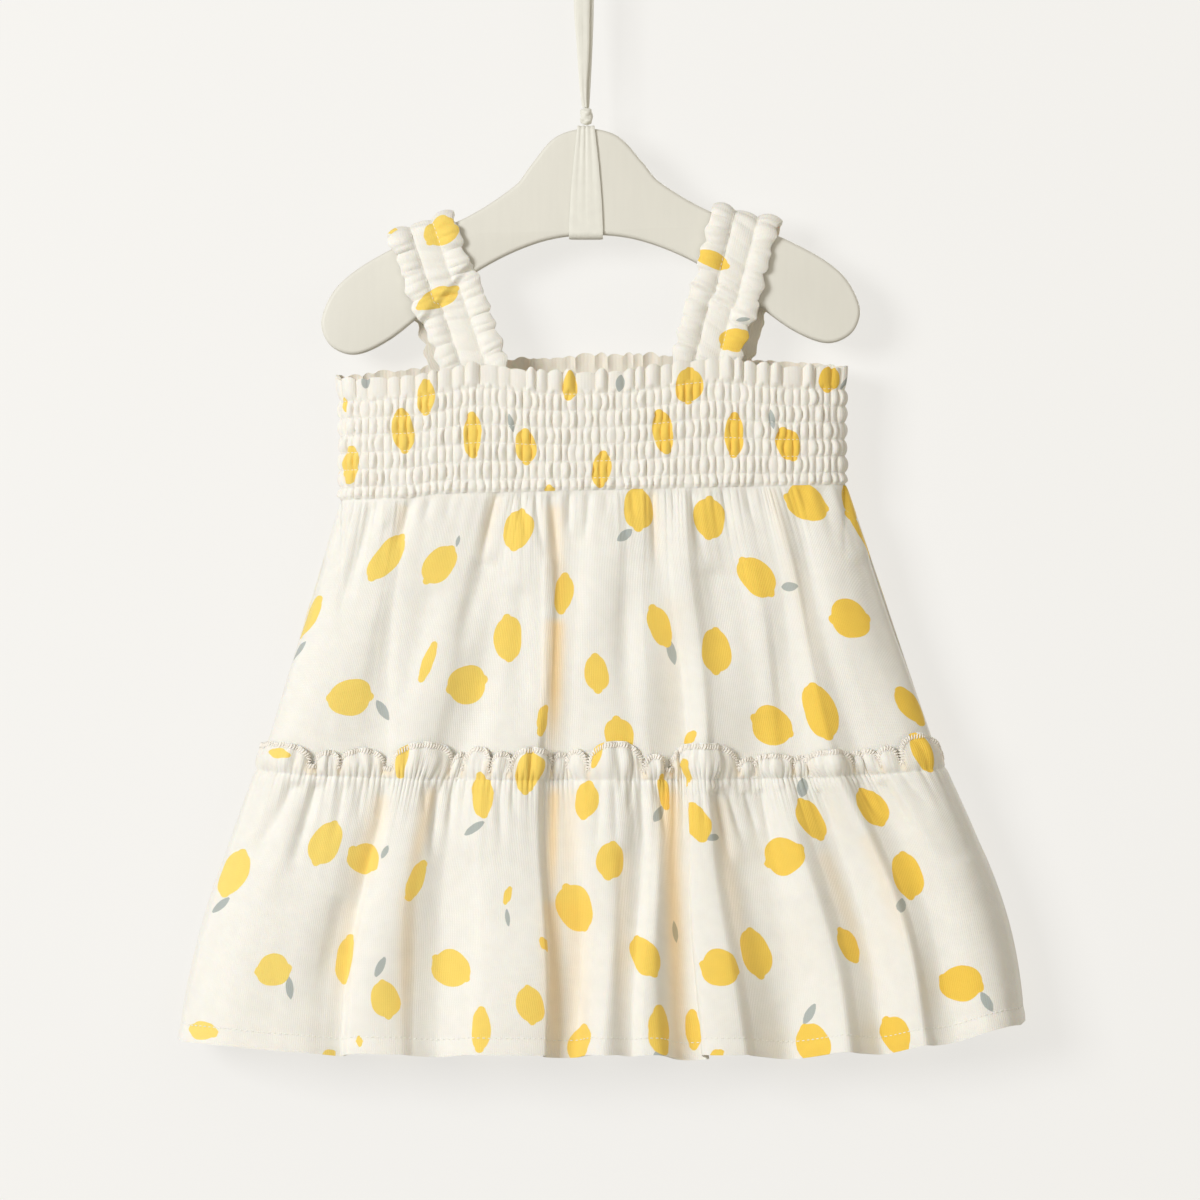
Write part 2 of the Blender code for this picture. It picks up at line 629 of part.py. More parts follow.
def make_band(material):
    """The ribbon wrapped round the middle of the board, narrower towards the knot."""
    bm = bmesh.new()
    rings = []
    for place, facing in band_path():
        height = (place[1] - BAND_BOTTOM_Z) / (BAND_TOP_Z - BAND_BOTTOM_Z)
        height = min(1.0, max(0.0, height))
        narrowing = height**BAND_TAPER
        half = (BAND_WIDTH_BELOW + (BAND_WIDTH_ABOVE - BAND_WIDTH_BELOW) * narrowing) / 2
        outer = place + facing * RIBBON_WALL
        ring = [(-half, *place), (half, *place), (half, *outer), (-half, *outer)]
        rings.append([bm.verts.new(p) for p in ring])
    for before, after in zip(rings, rings[1:] + rings[:1]):
        for i in range(4):
            bm.faces.new((before[i - 1], before[i], after[i], after[i - 1]))
    return add_object("tie_band", bm, material)


def make_knot(material):
    """The knot: a small ball of ribbon, drawn in round its waist."""
    bm = bmesh.new()
    bmesh.ops.create_uvsphere(bm, u_segments=KNOT_SEGMENTS, v_segments=KNOT_RINGS, radius=1.0)
    for vertex in bm.verts:
        waist = 1.0 - KNOT_WAIST * math.exp(-((vertex.co.z * KNOT_WAIST_SHARPNESS) ** 2))
        x = vertex.co.x * KNOT_HALF_SIZES[0] * waist
        y = vertex.co.y * KNOT_HALF_SIZES[1] * waist
        vertex.co = Vector(KNOT_CENTRE) + Vector((x, y, vertex.co.z * KNOT_HALF_SIZES[2]))
    return add_object("tie_knot", bm, material)


def make_strand(name, stations, material):
    """A flat strand of ribbon through its stations."""
    table = np.array(stations)
    line = through(table, chord_shares(table[:, :3]), np.linspace(0.0, 1.0, STRAND_STEPS + 1))
    bm = bmesh.new()
    rings = []
    for x, y, z, width in line:
        half_x, half_y = width / 2, RIBBON_WALL / 2
        corners = ((-half_x, -half_y), (half_x, -half_y), (half_x, half_y), (-half_x, half_y))
        rings.append([bm.verts.new((x + dx, y + dy, z)) for dx, dy in corners])
    for below, above in zip(rings, rings[1:]):
        for i in range(4):
            bm.faces.new((below[i - 1], below[i], above[i], above[i - 1]))
    bm.faces.new(rings[0])
    bm.faces.new(rings[-1])
    return add_object(name, bm, material)


def make_loop(material):
    """The loop that hangs on the peg: a drop-shaped ring of ribbon, its top at the origin."""
    bm = bmesh.new()
    rings = []
    half_depth = LOOP_DEPTH / 2
    for step in range(LOOP_STEPS):
        angle = 2.0 * math.pi * step / LOOP_STEPS
        narrowing = 0.5 + 0.5 * math.sin((math.cos(angle) + 1.0) * math.pi / 4.0)
        ring = []
        for inset, y in ((0.0, -1), (0.0, 1), (RIBBON_WALL, 1), (RIBBON_WALL, -1)):
            x = (LOOP_HALF_WIDTH - inset) * math.sin(angle) * narrowing
            z = (LOOP_HEIGHT / 2 - inset) * math.cos(angle) - LOOP_HEIGHT / 2
            ring.append(bm.verts.new((x, y * half_depth, z)))
        rings.append(ring)
    for before, after in zip(rings, rings[1:] + rings[:1]):
        for i in range(4):
            bm.faces.new((before[i - 1], before[i], after[i], after[i - 1]))
    return add_object("tie_loop", bm, material)


def main():
    """Build every piece of the dress, the hanger and the ribbon."""
    clear_scene()
    jersey = make_material("printed_jersey", (0.86, 0.82, 0.72), 0.9)
    paint = make_material("painted_wood", (0.75, 0.72, 0.64), 0.55)
    ribbon = make_material("ribbon", (0.78, 0.76, 0.67), 0.7)
    make_bodice("bodice_front", FRONT, jersey)
    make_bodice("bodice_back", BACK, jersey)
    make_upper_tier("skirt_upper_front", FRONT, FRONT_FOLDS, FRONT_GATHERS, jersey)
    make_upper_tier("skirt_upper_back", BACK, BACK_FOLDS, BACK_GATHERS, jersey)
    make_lower_tier("skirt_lower_front", FRONT, FRONT_FOLDS, FRONT_GATHERS, jersey)
    make_lower_tier("skirt_lower_back", BACK, BACK_FOLDS, BACK_GATHERS, jersey)
    for strap in STRAPS:
        make_strap(strap, jersey)
    make_hanger(paint)
    make_band(ribbon)
    make_knot(ribbon)
    make_strand("tie_ribbon", RIBBON_STATIONS, ribbon)
    make_strand("tie_strand", STRAND_STATIONS, ribbon)
    make_loop(ribbon)


main()
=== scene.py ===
# %% [markdown]
# # A smocked sundress on a flat hanger
# This lesson dresses a finished model. The frame holds the dress's panels at their real size as
# plain solids; here each panel becomes cloth, with its folds, its smocking, its print and its
# sewing. Everything is in metres in the frame's own space, and sizes are written in millimetres
# and turned into metres once, where a mesh is made.

# %% Load the frame
import math
from collections import namedtuple

import bmesh
import bpy
import numpy as np
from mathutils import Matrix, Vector


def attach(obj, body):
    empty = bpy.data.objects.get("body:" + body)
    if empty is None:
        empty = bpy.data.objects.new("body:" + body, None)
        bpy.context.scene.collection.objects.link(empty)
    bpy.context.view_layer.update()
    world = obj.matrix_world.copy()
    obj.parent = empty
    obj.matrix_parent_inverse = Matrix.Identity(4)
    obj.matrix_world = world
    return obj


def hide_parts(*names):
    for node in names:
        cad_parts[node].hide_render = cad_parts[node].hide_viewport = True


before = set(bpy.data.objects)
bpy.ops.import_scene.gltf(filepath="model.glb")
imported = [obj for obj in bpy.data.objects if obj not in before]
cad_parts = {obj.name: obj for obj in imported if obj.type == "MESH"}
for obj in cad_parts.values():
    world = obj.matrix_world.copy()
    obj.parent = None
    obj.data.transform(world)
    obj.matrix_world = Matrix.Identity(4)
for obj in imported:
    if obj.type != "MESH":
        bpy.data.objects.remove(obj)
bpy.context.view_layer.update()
MM = 0.001
TURN = 2 * math.pi
FRONT, BACK = -1.0, 1.0


def named_rows(kind, *rows):
    """Plain rows of numbers as rows whose numbers have names."""
    return tuple(kind(*row) for row in rows)


def add_object(name, data):
    """Put a new object in the scene."""
    made = bpy.data.objects.new(name, data)
    bpy.context.scene.collection.objects.link(made)
    return made


print("nodes:", sorted(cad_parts))

# %% [markdown]
# The camera comes first, because the print and the creases are charted as they are seen from it.
# The picture is square and frontal, so one long lens straight ahead gives its view. A pixel is
# worth 0.465 mm on the plane of the side seams, taken from a baby's hanger 250 mm wide.

# %% Camera
PICTURE_SIDE = 1200.0
PIXEL_MM = 0.465
CAMERA_DISTANCE_MM = 2200.0
SENSOR_MM = 36.0
RIBBON_PIXEL_X = 586.0
TOP_PIXEL_Y = -55.0

camera_x = (PICTURE_SIDE / 2 - RIBBON_PIXEL_X) * PIXEL_MM
camera_z = -(PICTURE_SIDE / 2 - TOP_PIXEL_Y) * PIXEL_MM
camera = add_object("camera", bpy.data.cameras.new("camera"))
camera.data.sensor_width = SENSOR_MM
camera.data.lens = SENSOR_MM * CAMERA_DISTANCE_MM / (PICTURE_SIDE * PIXEL_MM)
camera.data.clip_start = 0.1
camera.location = (camera_x * MM, -CAMERA_DISTANCE_MM * MM, camera_z * MM)
camera.rotation_euler = (math.pi / 2, 0.0, 0.0)
bpy.context.scene.camera = camera
print(f"camera at x {camera_x:.1f}, z {camera_z:.1f} mm, lens {camera.data.lens:.0f} mm")


def to_pixels(points):
    """Where points in millimetres are seen, in the picture's pixels."""
    nearness = CAMERA_DISTANCE_MM / (CAMERA_DISTANCE_MM + points[..., 1])
    x = PICTURE_SIDE / 2 + (points[..., 0] - camera_x) * nearness / PIXEL_MM
    y = PICTURE_SIDE / 2 - (points[..., 2] - camera_z) * nearness / PIXEL_MM
    return np.stack([x, y], axis=-1)


# %% [markdown]
# The ribbon above the knot is a free cord, so its facts are settled before its shape: a soft flat
# tape, held taut by the weight of the dress, from the knot on the board to the loop on the peg.
# Its route is a short list of stations, the same ones that the solid follows.

# %% The ribbon's route
StrandStation = namedtuple("StrandStation", "x y z width")
RIBBON_STATIONS = named_rows(
    StrandStation,
    (-0.6, -0.8, -75.6, 2.4), (-1.2, -0.9, -67.5, 3.3), (-1.4, -1.0, -48.8, 5.6),
    (-2.0, -1.0, -25.6, 7.4), (-1.2, -1.0, -13.6, 6.4),
)
STRAND_STATIONS = named_rows(
    StrandStation,
    (0.5, 1.0, -75.6, 2.0), (0.9, 1.0, -66.0, 2.4), (1.6, 1.0, -45.0, 3.0), (1.8, 1.0, -25.6, 3.6),
    (1.0, 1.0, -13.6, 3.6),
)

# %% [markdown]
# A pale wall stands close behind the dress and catches its soft shadow. Seen from behind, the
# wall turns clear, so that the back of the dress can be looked at too: its material lets the
# camera through wherever it is seen from its reverse.

# %% Wall, floor and light
WALL_Y = 0.0217
WALL_GLOW = 0.78
WALL_COLOUR = (0.895, 0.882, 0.853)
WALL_SIZE = 4.0
FLOOR_Z = -0.80
LIGHT_AIM = Vector((0.0, 0.0, -0.30))
WORLD_COLOUR, WORLD_STRENGTH = (1.0, 0.94, 0.82, 1.0), 0.43


def feed(tree, node, inputs):
    """Fill a node's inputs, by title: a socket is linked, anything else is set."""
    for title, value in inputs.items():
        socket = node.inputs[title.replace("_", " ")]
        if isinstance(value, bpy.types.NodeSocket):
            tree.links.new(value, socket)
        else:
            socket.default_value = value
    return node


def add_node(tree, kind, **inputs):
    """A new node with its inputs filled."""
    return feed(tree, tree.nodes.new(kind), inputs)


def new_material(name, **looks):
    """A Principled material with some inputs set; its tree and shader are there to build on."""
    material = bpy.data.materials.new(name)
    material.use_nodes = True
    tree = material.node_tree
    return material, tree, feed(tree, tree.nodes["Principled BSDF"], looks)


def stage_plane(name, corners, glow, clear_behind):
    """A flat matt stage surface in the wall's colour. Its glow is the share of the colour that no
    shadow can darken, as on a wall that many lamps light."""
    mesh = bpy.data.meshes.new(name)
    mesh.from_pydata(corners, [], [(0, 1, 2, 3)])
    material, tree, shader = new_material(
        name, Base_Color=(*[part * (1.0 - glow) for part in WALL_COLOUR], 1.0),
        Emission_Color=(*WALL_COLOUR, 1.0), Emission_Strength=glow,
        Roughness=1.0, Specular_IOR_Level=0.0,
    )
    if clear_behind:
        geometry = tree.nodes.new("ShaderNodeNewGeometry")
        clear = tree.nodes.new("ShaderNodeBsdfTransparent")
        mix = tree.nodes.new("ShaderNodeMixShader")
        tree.links.new(geometry.outputs["Backfacing"], mix.inputs["Fac"])
        tree.links.new(shader.outputs["BSDF"], mix.inputs[1])
        tree.links.new(clear.outputs["BSDF"], mix.inputs[2])
        tree.links.new(mix.outputs["Shader"], tree.nodes["Material Output"].inputs["Surface"])
    mesh.materials.append(material)
    plane = add_object(name, mesh)
    plane.visible_shadow = False
    plane.visible_diffuse = False
    plane.visible_glossy = False
    plane.visible_transmission = False


half = WALL_SIZE / 2
square = ((-half, -half), (half, -half), (half, half), (-half, half))
stage_plane("wall", [(x, WALL_Y, z) for x, z in square], WALL_GLOW, clear_behind=True)
stage_plane("floor", [(x, y, FLOOR_Z) for x, y in square], 0.0, clear_behind=False)


def soft_light(name, place, size, power, colour=(1.0, 1.0, 1.0)):
    """A square area light that looks at the dress."""
    light = bpy.data.lights.new(name, "AREA")
    light.shape = "SQUARE"
    light.size = size
    light.energy = power
    light.color = colour
    lamp = add_object(name, light)
    lamp.location = place
    lamp.rotation_euler = (Vector(place) - LIGHT_AIM).to_track_quat("Z", "Y").to_euler()


soft_light("key", (-1.98, -2.3, 0.42), 1.15, 78.0, (0.945, 0.965, 1.0))
soft_light("fill", (1.5, -2.2, -0.1), 1.8, 8.5, (1.0, 0.955, 0.88))
soft_light("back_key", (1.1, 1.9, 0.6), 1.2, 26.0)
soft_light("back_fill", (-1.4, 1.7, -0.3), 1.4, 12.0)

world = bpy.data.worlds.new("studio")
world.use_nodes = True
background = world.node_tree.nodes["Background"]
feed(world.node_tree, background, {"Color": WORLD_COLOUR, "Strength": WORLD_STRENGTH})
bpy.context.scene.world = world
bpy.context.scene.view_settings.view_transform = "Standard"
bpy.context.scene.view_settings.look = "None"
print("stage and lights are set")

# %% [markdown]
# Every panel is a sheet of points, so a few helpers on grids do most of the work: a smooth curve
# through given points, even spacing along a line, outward normals of a grid, and a closed wall
# between an outer grid and a coarser inner one. An inner face needs less detail than the face
# that shows, so it takes every few columns and rows of the outer one.

# %% Helpers for curves and grids
WALL = 1.1
SEAM_GAP = 0.3
CLOTH_STEP = (4, 3)
SHARP_CLOTH_DEGREES = 60.0
OUTSIDE_MM = -20.0


def ease(t):
    """Smooth step from 0 to 1."""
    t = np.clip(t, 0.0, 1.0)
    return t * t * (3.0 - 2.0 * t)


def through(points, knots, at):
    """A smooth curve through points, one for each knot, read at the given knot values."""
    points = np.asarray(points, float)
    slopes = np.empty_like(points)
    slopes[1:-1] = (points[2:] - points[:-2]) / (knots[2:] - knots[:-2])[:, None]
    slopes[0] = (points[1] - points[0]) / (knots[1] - knots[0])
    slopes[-1] = (points[-1] - points[-2]) / (knots[-1] - knots[-2])
    span = np.clip(np.searchsorted(knots, at, side="right") - 1, 0, len(knots) - 2)
    length = (knots[span + 1] - knots[span])[:, None]
    t = ((at - knots[span]) / (knots[span + 1] - knots[span]))[:, None]
    start, end = points[span], points[span + 1]
    return (
        start * (2 * t**3 - 3 * t**2 + 1)
        + slopes[span] * length * (t**3 - 2 * t**2 + t)
        + end * (3 * t**2 - 2 * t**3)
        + slopes[span + 1] * length * (t**3 - t**2)
    )


def distances(points):
    """How far along a line each of its points lies."""
    steps = np.linalg.norm(np.diff(np.asarray(points, float), axis=0), axis=1)
    return np.concatenate([[0.0], np.cumsum(steps)])


def chord_shares(points):
    """How far along its own length each point of a line lies, from 0 to 1."""
    along = distances(points)
    return along / along[-1]


def line_length(points):
    """Length of a line of points."""
    return float(distances(points)[-1])


def evenly(points, count):
    """count + 1 points at even distances along a line."""
    wanted = np.linspace(0.0, 1.0, count + 1)
    points = np.asarray(points, float)
    return np.column_stack([np.interp(wanted, chord_shares(points), axis) for axis in points.T])


def outward_normals(grid, side):
    """Unit normals of a grid of points, facing the front (side -1) or the back (side 1)."""
    normals = np.cross(np.gradient(grid, axis=1), np.gradient(grid, axis=0)) * side
    return normals / np.maximum(np.linalg.norm(normals, axis=2, keepdims=True), 1e-9)


def rim_faces(first, second):
    """Triangles between two edge lines of vertex numbers; either may have fewer."""
    faces = []
    i = j = 0
    last_i, last_j = len(first) - 1, len(second) - 1
    while i < last_i or j < last_j:
        if j == last_j or (i < last_i and (i + 1) * last_j <= (j + 1) * last_i):
            faces.append((first[i], first[i + 1], second[j]))
            i += 1
        else:
            faces.append((first[i], second[j + 1], second[j]))
            j += 1
    return faces


def quads(numbers):
    """Quads of a grid of vertex numbers."""
    corners = [numbers[:-1, :-1], numbers[1:, :-1], numbers[1:, 1:], numbers[:-1, 1:]]
    return np.stack(corners, axis=-1).reshape(-1, 4).tolist()


def cloth_wall(name, outer, inner, values, cloth, step=CLOTH_STEP):
    """A closed wall of cloth. values are numbers for each outer point, cloth its flat place, and
    step how many rows and columns of the outer face the inner one passes over."""
    rows, columns = outer.shape[:2]
    row_pick = np.unique(np.append(np.arange(0, rows, step[0]), rows - 1))
    column_pick = np.unique(np.append(np.arange(0, columns, step[1]), columns - 1))
    coarse = inner[np.ix_(row_pick, column_pick)]
    out_numbers = np.arange(rows * columns).reshape(rows, columns)
    in_numbers = rows * columns + np.arange(coarse.size // 3).reshape(coarse.shape[:2])
    faces = quads(out_numbers) + quads(in_numbers)
    for edge in (np.s_[0], np.s_[-1], np.s_[:, 0], np.s_[:, -1]):
        faces += rim_faces(out_numbers[edge], in_numbers[edge])
    points = np.vstack([outer.reshape(-1, 3), coarse.reshape(-1, 3)]) * MM
    mesh = bpy.data.meshes.new(name)
    mesh.from_pydata(points.tolist(), [], faces)
    bm = bmesh.new()
    bm.from_mesh(mesh)
    bmesh.ops.recalc_face_normals(bm, faces=bm.faces)
    bm.to_mesh(mesh)
    bm.free()
    on_reverse = {"reverse": 1.0, "lemon_mm": OUTSIDE_MM, "leaf_mm": OUTSIDE_MM}
    for key, value in {**values, "reverse": np.zeros((rows, columns))}.items():
        layer = mesh.attributes.new(key, "FLOAT", "POINT")
        tail = np.full(coarse.size // 3, on_reverse.get(key, 0.0))
        layer.data.foreach_set("value", np.concatenate([value.ravel(), tail]))
    flat = np.vstack([cloth.reshape(-1, 2), cloth[np.ix_(row_pick, column_pick)].reshape(-1, 2)])
    corner_vertex = np.empty(len(mesh.loops), np.int32)
    mesh.loops.foreach_get("vertex_index", corner_vertex)
    uv = mesh.uv_layers.new(name="cloth_place")
    uv.data.foreach_set("uv", (flat[corner_vertex] * MM).astype(np.float32).ravel())
    mesh.shade_smooth()
    mesh.set_sharp_from_angle(angle=math.radians(SHARP_CLOTH_DEGREES))
    print(f"{name}: {rows} x {columns} points, {len(mesh.polygons)} faces")
    return add_object(name, mesh)


def ring_solid(name, rings, closed, material, sharp_degrees):
    """A solid through rings of points in millimetres, closed on itself or capped."""
    bm = bmesh.new()
    verts = [[bm.verts.new(Vector(point) * MM) for point in ring] for ring in rings]
    for near, far in zip(verts, verts[1:] + verts[:1] if closed else verts[1:]):
        for i in range(len(near)):
            bm.faces.new((near[i - 1], near[i], far[i], far[i - 1]))
    if not closed:
        bm.faces.new(verts[0])
        bm.faces.new(verts[-1])
    bmesh.ops.recalc_face_normals(bm, faces=bm.faces)
    mesh = bpy.data.meshes.new(name)
    bm.to_mesh(mesh)
    bm.free()
    mesh.materials.append(material)
    mesh.shade_smooth()
    mesh.set_sharp_from_angle(angle=math.radians(sharp_degrees))
    print(f"{name}: {len(mesh.polygons)} faces")
    return add_object(name, mesh)


def row_shares(grid):
    """How far along its own row each point of a grid lies, from 0 to 1."""
    steps = np.linalg.norm(np.diff(grid, axis=1), axis=2)
    along = np.concatenate([np.zeros((len(grid), 1)), np.cumsum(steps, axis=1)], axis=1)
    return along / along[:, -1:]


def on_its_side(grid, side):
    """Keep a panel on its own side of the side seams, and bring its ends to them."""
    grid[..., 1] = side * np.maximum(side * grid[..., 1], SEAM_GAP / 2)
    for column in (0, -1):
        grid[:, column, 1] = side * SEAM_GAP / 2
    return grid


# %% [markdown]
# The print is lemons tossed about, some with a leaf. A lemon is an ellipse with a small nub at
# each end, and a leaf is a pointed oval, so both are formulas. They are charted one by one: a row
# gives the middle and the tilt as seen on the hanging dress. The code finds the cloth there and
# draws the shape in the cloth's own flat space, so folds and gathers narrow it as they do in life.
# Each point of the cloth keeps how far it lies inside the nearest shape, and the material cuts a
# crisp edge where that is zero.

# %% Print
NUB_LENGTH, NUB_HALF_WIDTH, NUB_BLEND = 1.9, 2.0, 0.45
NUB_STANDS = 1.35
BODY_SQUARENESS = 2.25
BODY_WOBBLE = 0.035
REACH_MM = 20.0
STRETCH_LIMITS = (0.85, 1.9)
SAME_PLACE_PIXELS = 1.6
LEMON_TURN_STEP = 2.4

# One row for each motif: its middle in the picture's pixels, the tilt of its long axis from
# upright, clockwise, in degrees, and its length and width as seen, in pixels.
Motif = namedtuple("Motif", "px py tilt long wide")
BODICE_LEMONS = named_rows(
    Motif,
    (427, 397, 0, 38, 18), (403, 432, -8, 50, 22), (472, 436, 2, 48, 18), (525, 445, -6, 40, 21),
    (348, 465, 4, 42, 14), (600, 470, 8, 42, 19), (570, 388, 0, 28, 15), (661, 431, -8, 50, 20),
    (690, 385, 0, 38, 28), (733, 437, 0, 48, 19), (787, 443, -14, 40, 24), (831, 380, 0, 28, 22),
    (549, 493, 0, 12, 11), (344, 405, 0, 16, 5),
)
BODICE_LEAVES = named_rows(
    Motif,
    (512, 424, -14, 20, 6), (622, 383, 8, 18, 9), (366, 384, 10, 14, 9), (770, 420, -8, 22, 6),
    (848, 385, 20, 14, 5),
)
UPPER_LEMONS = named_rows(
    Motif,
    (386, 558, 27, 54, 27), (438, 564, 30, 44, 31), (516, 529, 15, 44, 29), (637, 509, 5, 46, 29),
    (711, 519, 15, 45, 31), (805, 503, -70, 43, 37), (852, 500, 0, 34, 18), (866, 534, -15, 50, 9),
    (759, 576, -35, 47, 33), (851, 618, 88, 43, 39), (661, 625, -15, 45, 22), (718, 651, 3, 48, 29),
    (506, 637, -8, 49, 28), (468, 685, 75, 43, 39), (596, 675, -8, 41, 24), (351, 697, 92, 48, 38),
    (307, 616, 14, 48, 20), (427, 662, 12, 42, 12), (565, 593, 8, 42, 20), (545, 720, 5, 32, 9),
    (771, 726, -60, 44, 39), (822, 710, -3, 58, 32), (913, 706, -15, 42, 18), (621, 735, 0, 40, 29),
    (687, 739, 25, 17, 9),
)
UPPER_LEAVES = named_rows(
    Motif,
    (457, 540, 12, 13, 4), (627, 536, 55, 20, 9), (787, 586, 85, 17, 9), (674, 653, -8, 27, 9),
    (381, 710, -38, 27, 9), (296, 650, 28, 25, 8),
)
LOWER_LEMONS = named_rows(
    Motif,
    (232, 872, 5, 52, 25), (323, 842, 10, 49, 31), (367, 860, -50, 39, 29), (418, 879, 10, 44, 16),
    (272, 970, 80, 38, 33), (345, 958, 6, 51, 20), (388, 998, -15, 42, 29), (450, 968, -50, 44, 37),
    (479, 1030, 5, 48, 19), (532, 1006, 0, 42, 28), (481, 795, -3, 48, 22), (505, 894, 5, 20, 8),
    (529, 774, 8, 44, 23), (584, 801, 16, 42, 22), (608, 862, 8, 42, 28), (574, 907, -20, 54, 36),
    (641, 955, -25, 47, 30), (578, 1043, 15, 42, 21), (664, 1028, 4, 52, 16),
    (691, 1029, 0, 42, 16), (713, 1060, 70, 18, 12), (695, 821, -8, 42, 19), (782, 857, 65, 44, 38),
    (718, 966, -75, 43, 38), (757, 954, -12, 54, 29), (812, 820, -15, 46, 25),
    (873, 806, -8, 43, 30), (908, 875, 0, 51, 30), (850, 944, -15, 39, 21), (958, 982, -60, 47, 35),
    (812, 1045, -25, 46, 32), (893, 1033, -25, 45, 27), (201, 1030, 90, 30, 19),
    (357, 1039, 0, 12, 8), (331, 1057, 60, 16, 12), (277, 752, 85, 20, 10), (403, 760, 10, 34, 13),
    (596, 752, 20, 24, 10), (926, 752, -10, 36, 18), (666, 790, 0, 40, 12), (683, 776, 5, 26, 10),
    (547, 942, 0, 16, 6),
)
LOWER_LEAVES = named_rows(
    Motif,
    (220, 905, 35, 23, 8), (383, 850, 15, 15, 6), (290, 985, -12, 25, 8), (381, 967, 25, 26, 8),
    (472, 827, 50, 25, 8), (507, 915, -6, 20, 5), (660, 1055, 40, 17, 10), (716, 836, 85, 13, 7),
    (805, 788, 15, 21, 9), (904, 906, 14, 16, 8), (988, 1002, -20, 25, 9), (808, 1014, 35, 25, 9),
    (677, 933, -4, 23, 6), (661, 814, 28, 20, 8),
)
STRAP_LEMONS = named_rows(
    Motif,
    (441, 231, 60, 40, 34), (391, 231, 0, 16, 9), (435, 298, 78, 44, 26), (713, 261, -75, 38, 22),
    (733, 340, 28, 38, 28),
)
STRAP_LEAVES = (Motif(744, 321, 60, 13, 6),)
HIDDEN_SPACING = 41.0
HIDDEN_JITTER = 8.0
HIDDEN_LONG, HIDDEN_WIDE = (20.0, 24.5), (15.5, 18.5)
HIDDEN_ROW_SHARE, HIDDEN_MARGIN = 0.82, 5.0
LEAF_LONG, LEAF_WIDE = 12.0, 4.3
LEAF_SHARE, LEAF_TURN = 0.35, (25.0, 60.0)


def lemon_inside(x, y, long, wide, turn):
    """How far inside a lemon's edge a point is, in millimetres; below zero is outside."""
    half_long, half_wide = long / 2 - NUB_STANDS, wide / 2
    wobble = 1.0 + BODY_WOBBLE * np.cos(3.0 * np.arctan2(y, x) + turn)
    power = BODY_SQUARENESS
    reach = (np.abs(x / half_wide) ** power + np.abs(y / half_long) ** power) ** (1.0 / power)
    body = (wobble - reach) * min(half_wide, half_long)
    for end in (-1.0, 1.0):
        nub_x = (x - 0.7 * math.sin(turn) * end) / min(NUB_HALF_WIDTH, 0.3 * wide)
        nub_y = (y - end * (long / 2 - NUB_LENGTH)) / NUB_LENGTH
        nub = (1.0 - np.hypot(nub_x, nub_y)) * NUB_LENGTH
        blend = np.clip(0.5 + 0.5 * (nub - body) / NUB_BLEND, 0.0, 1.0)
        body = body * (1.0 - blend) + nub * blend + NUB_BLEND * blend * (1.0 - blend)
    return body


def leaf_inside(x, y, long, wide):
    """How far inside a pointed leaf a point is: the overlap of two circles."""
    radius = (long**2 + wide**2) / (4.0 * wide)
    offset = radius - wide / 2
    return np.minimum(radius - np.hypot(x + offset, y), radius - np.hypot(x - offset, y))


def seen_place(outer, seen, cloth, motif):
    """The cloth's flat place seen at a motif's middle, and how far the cloth is drawn in there."""
    off = np.hypot(seen[..., 0] - motif.px, seen[..., 1] - motif.py)
    depth = np.where(off <= off.min() + SAME_PLACE_PIXELS, outer[..., 1], np.inf)
    row, column = np.unravel_index(np.argmin(depth), depth.shape)
    near = np.abs(seen[row, :, 0] - motif.px) < motif.wide / 2
    seen_step = np.gradient(seen[row, :, 0]) * PIXEL_MM
    drawn_in = np.gradient(cloth[row, :, 0]) / np.maximum(seen_step, 0.01)
    return cloth[row, column], float(np.clip(np.median(drawn_in[near]), *STRETCH_LIMITS))


def stamp(values, key, cloth, place, tilt, stretch, shape):
    """Lay one motif on the cloth: keep the greater of what is there and the new shape."""
    angle = math.radians(tilt)
    dx, dy = (cloth[..., 0] - place[0]) / stretch, cloth[..., 1] - place[1]
    near = np.hypot(dx, dy) < REACH_MM
    x = dx[near] * math.cos(angle) - dy[near] * math.sin(angle)
    y = dx[near] * math.sin(angle) + dy[near] * math.cos(angle)
    values[key][near] = np.maximum(values[key][near], shape(x, y))


def print_values(cloth):
    """Empty print values for a panel."""
    return {key: np.full(cloth.shape[:2], OUTSIDE_MM) for key in ("lemon_mm", "leaf_mm")}


def print_as_seen(outer, cloth, lemons, leaves):
    """Print the charted motifs on a panel."""
    values = print_values(cloth)
    seen = to_pixels(outer)
    for number, motif in enumerate(lemons):
        place, stretch = seen_place(outer, seen, cloth, motif)
        long, wide = motif.long * PIXEL_MM, motif.wide * PIXEL_MM
        shape = lambda x, y: lemon_inside(x, y, long, wide, number * LEMON_TURN_STEP)
        stamp(values, "lemon_mm", cloth, place, motif.tilt, stretch, shape)
    for motif in leaves:
        place, stretch = seen_place(outer, seen, cloth, motif)
        long, wide = motif.long * PIXEL_MM, motif.wide * PIXEL_MM
        shape = lambda x, y: leaf_inside(x, y, long, wide)
        stamp(values, "leaf_mm", cloth, place, motif.tilt, stretch, shape)
    return values


def pointing(tilt):
    """The direction at a tilt from upright, clockwise, on flat cloth."""
    return np.array([math.sin(math.radians(tilt)), math.cos(math.radians(tilt))])


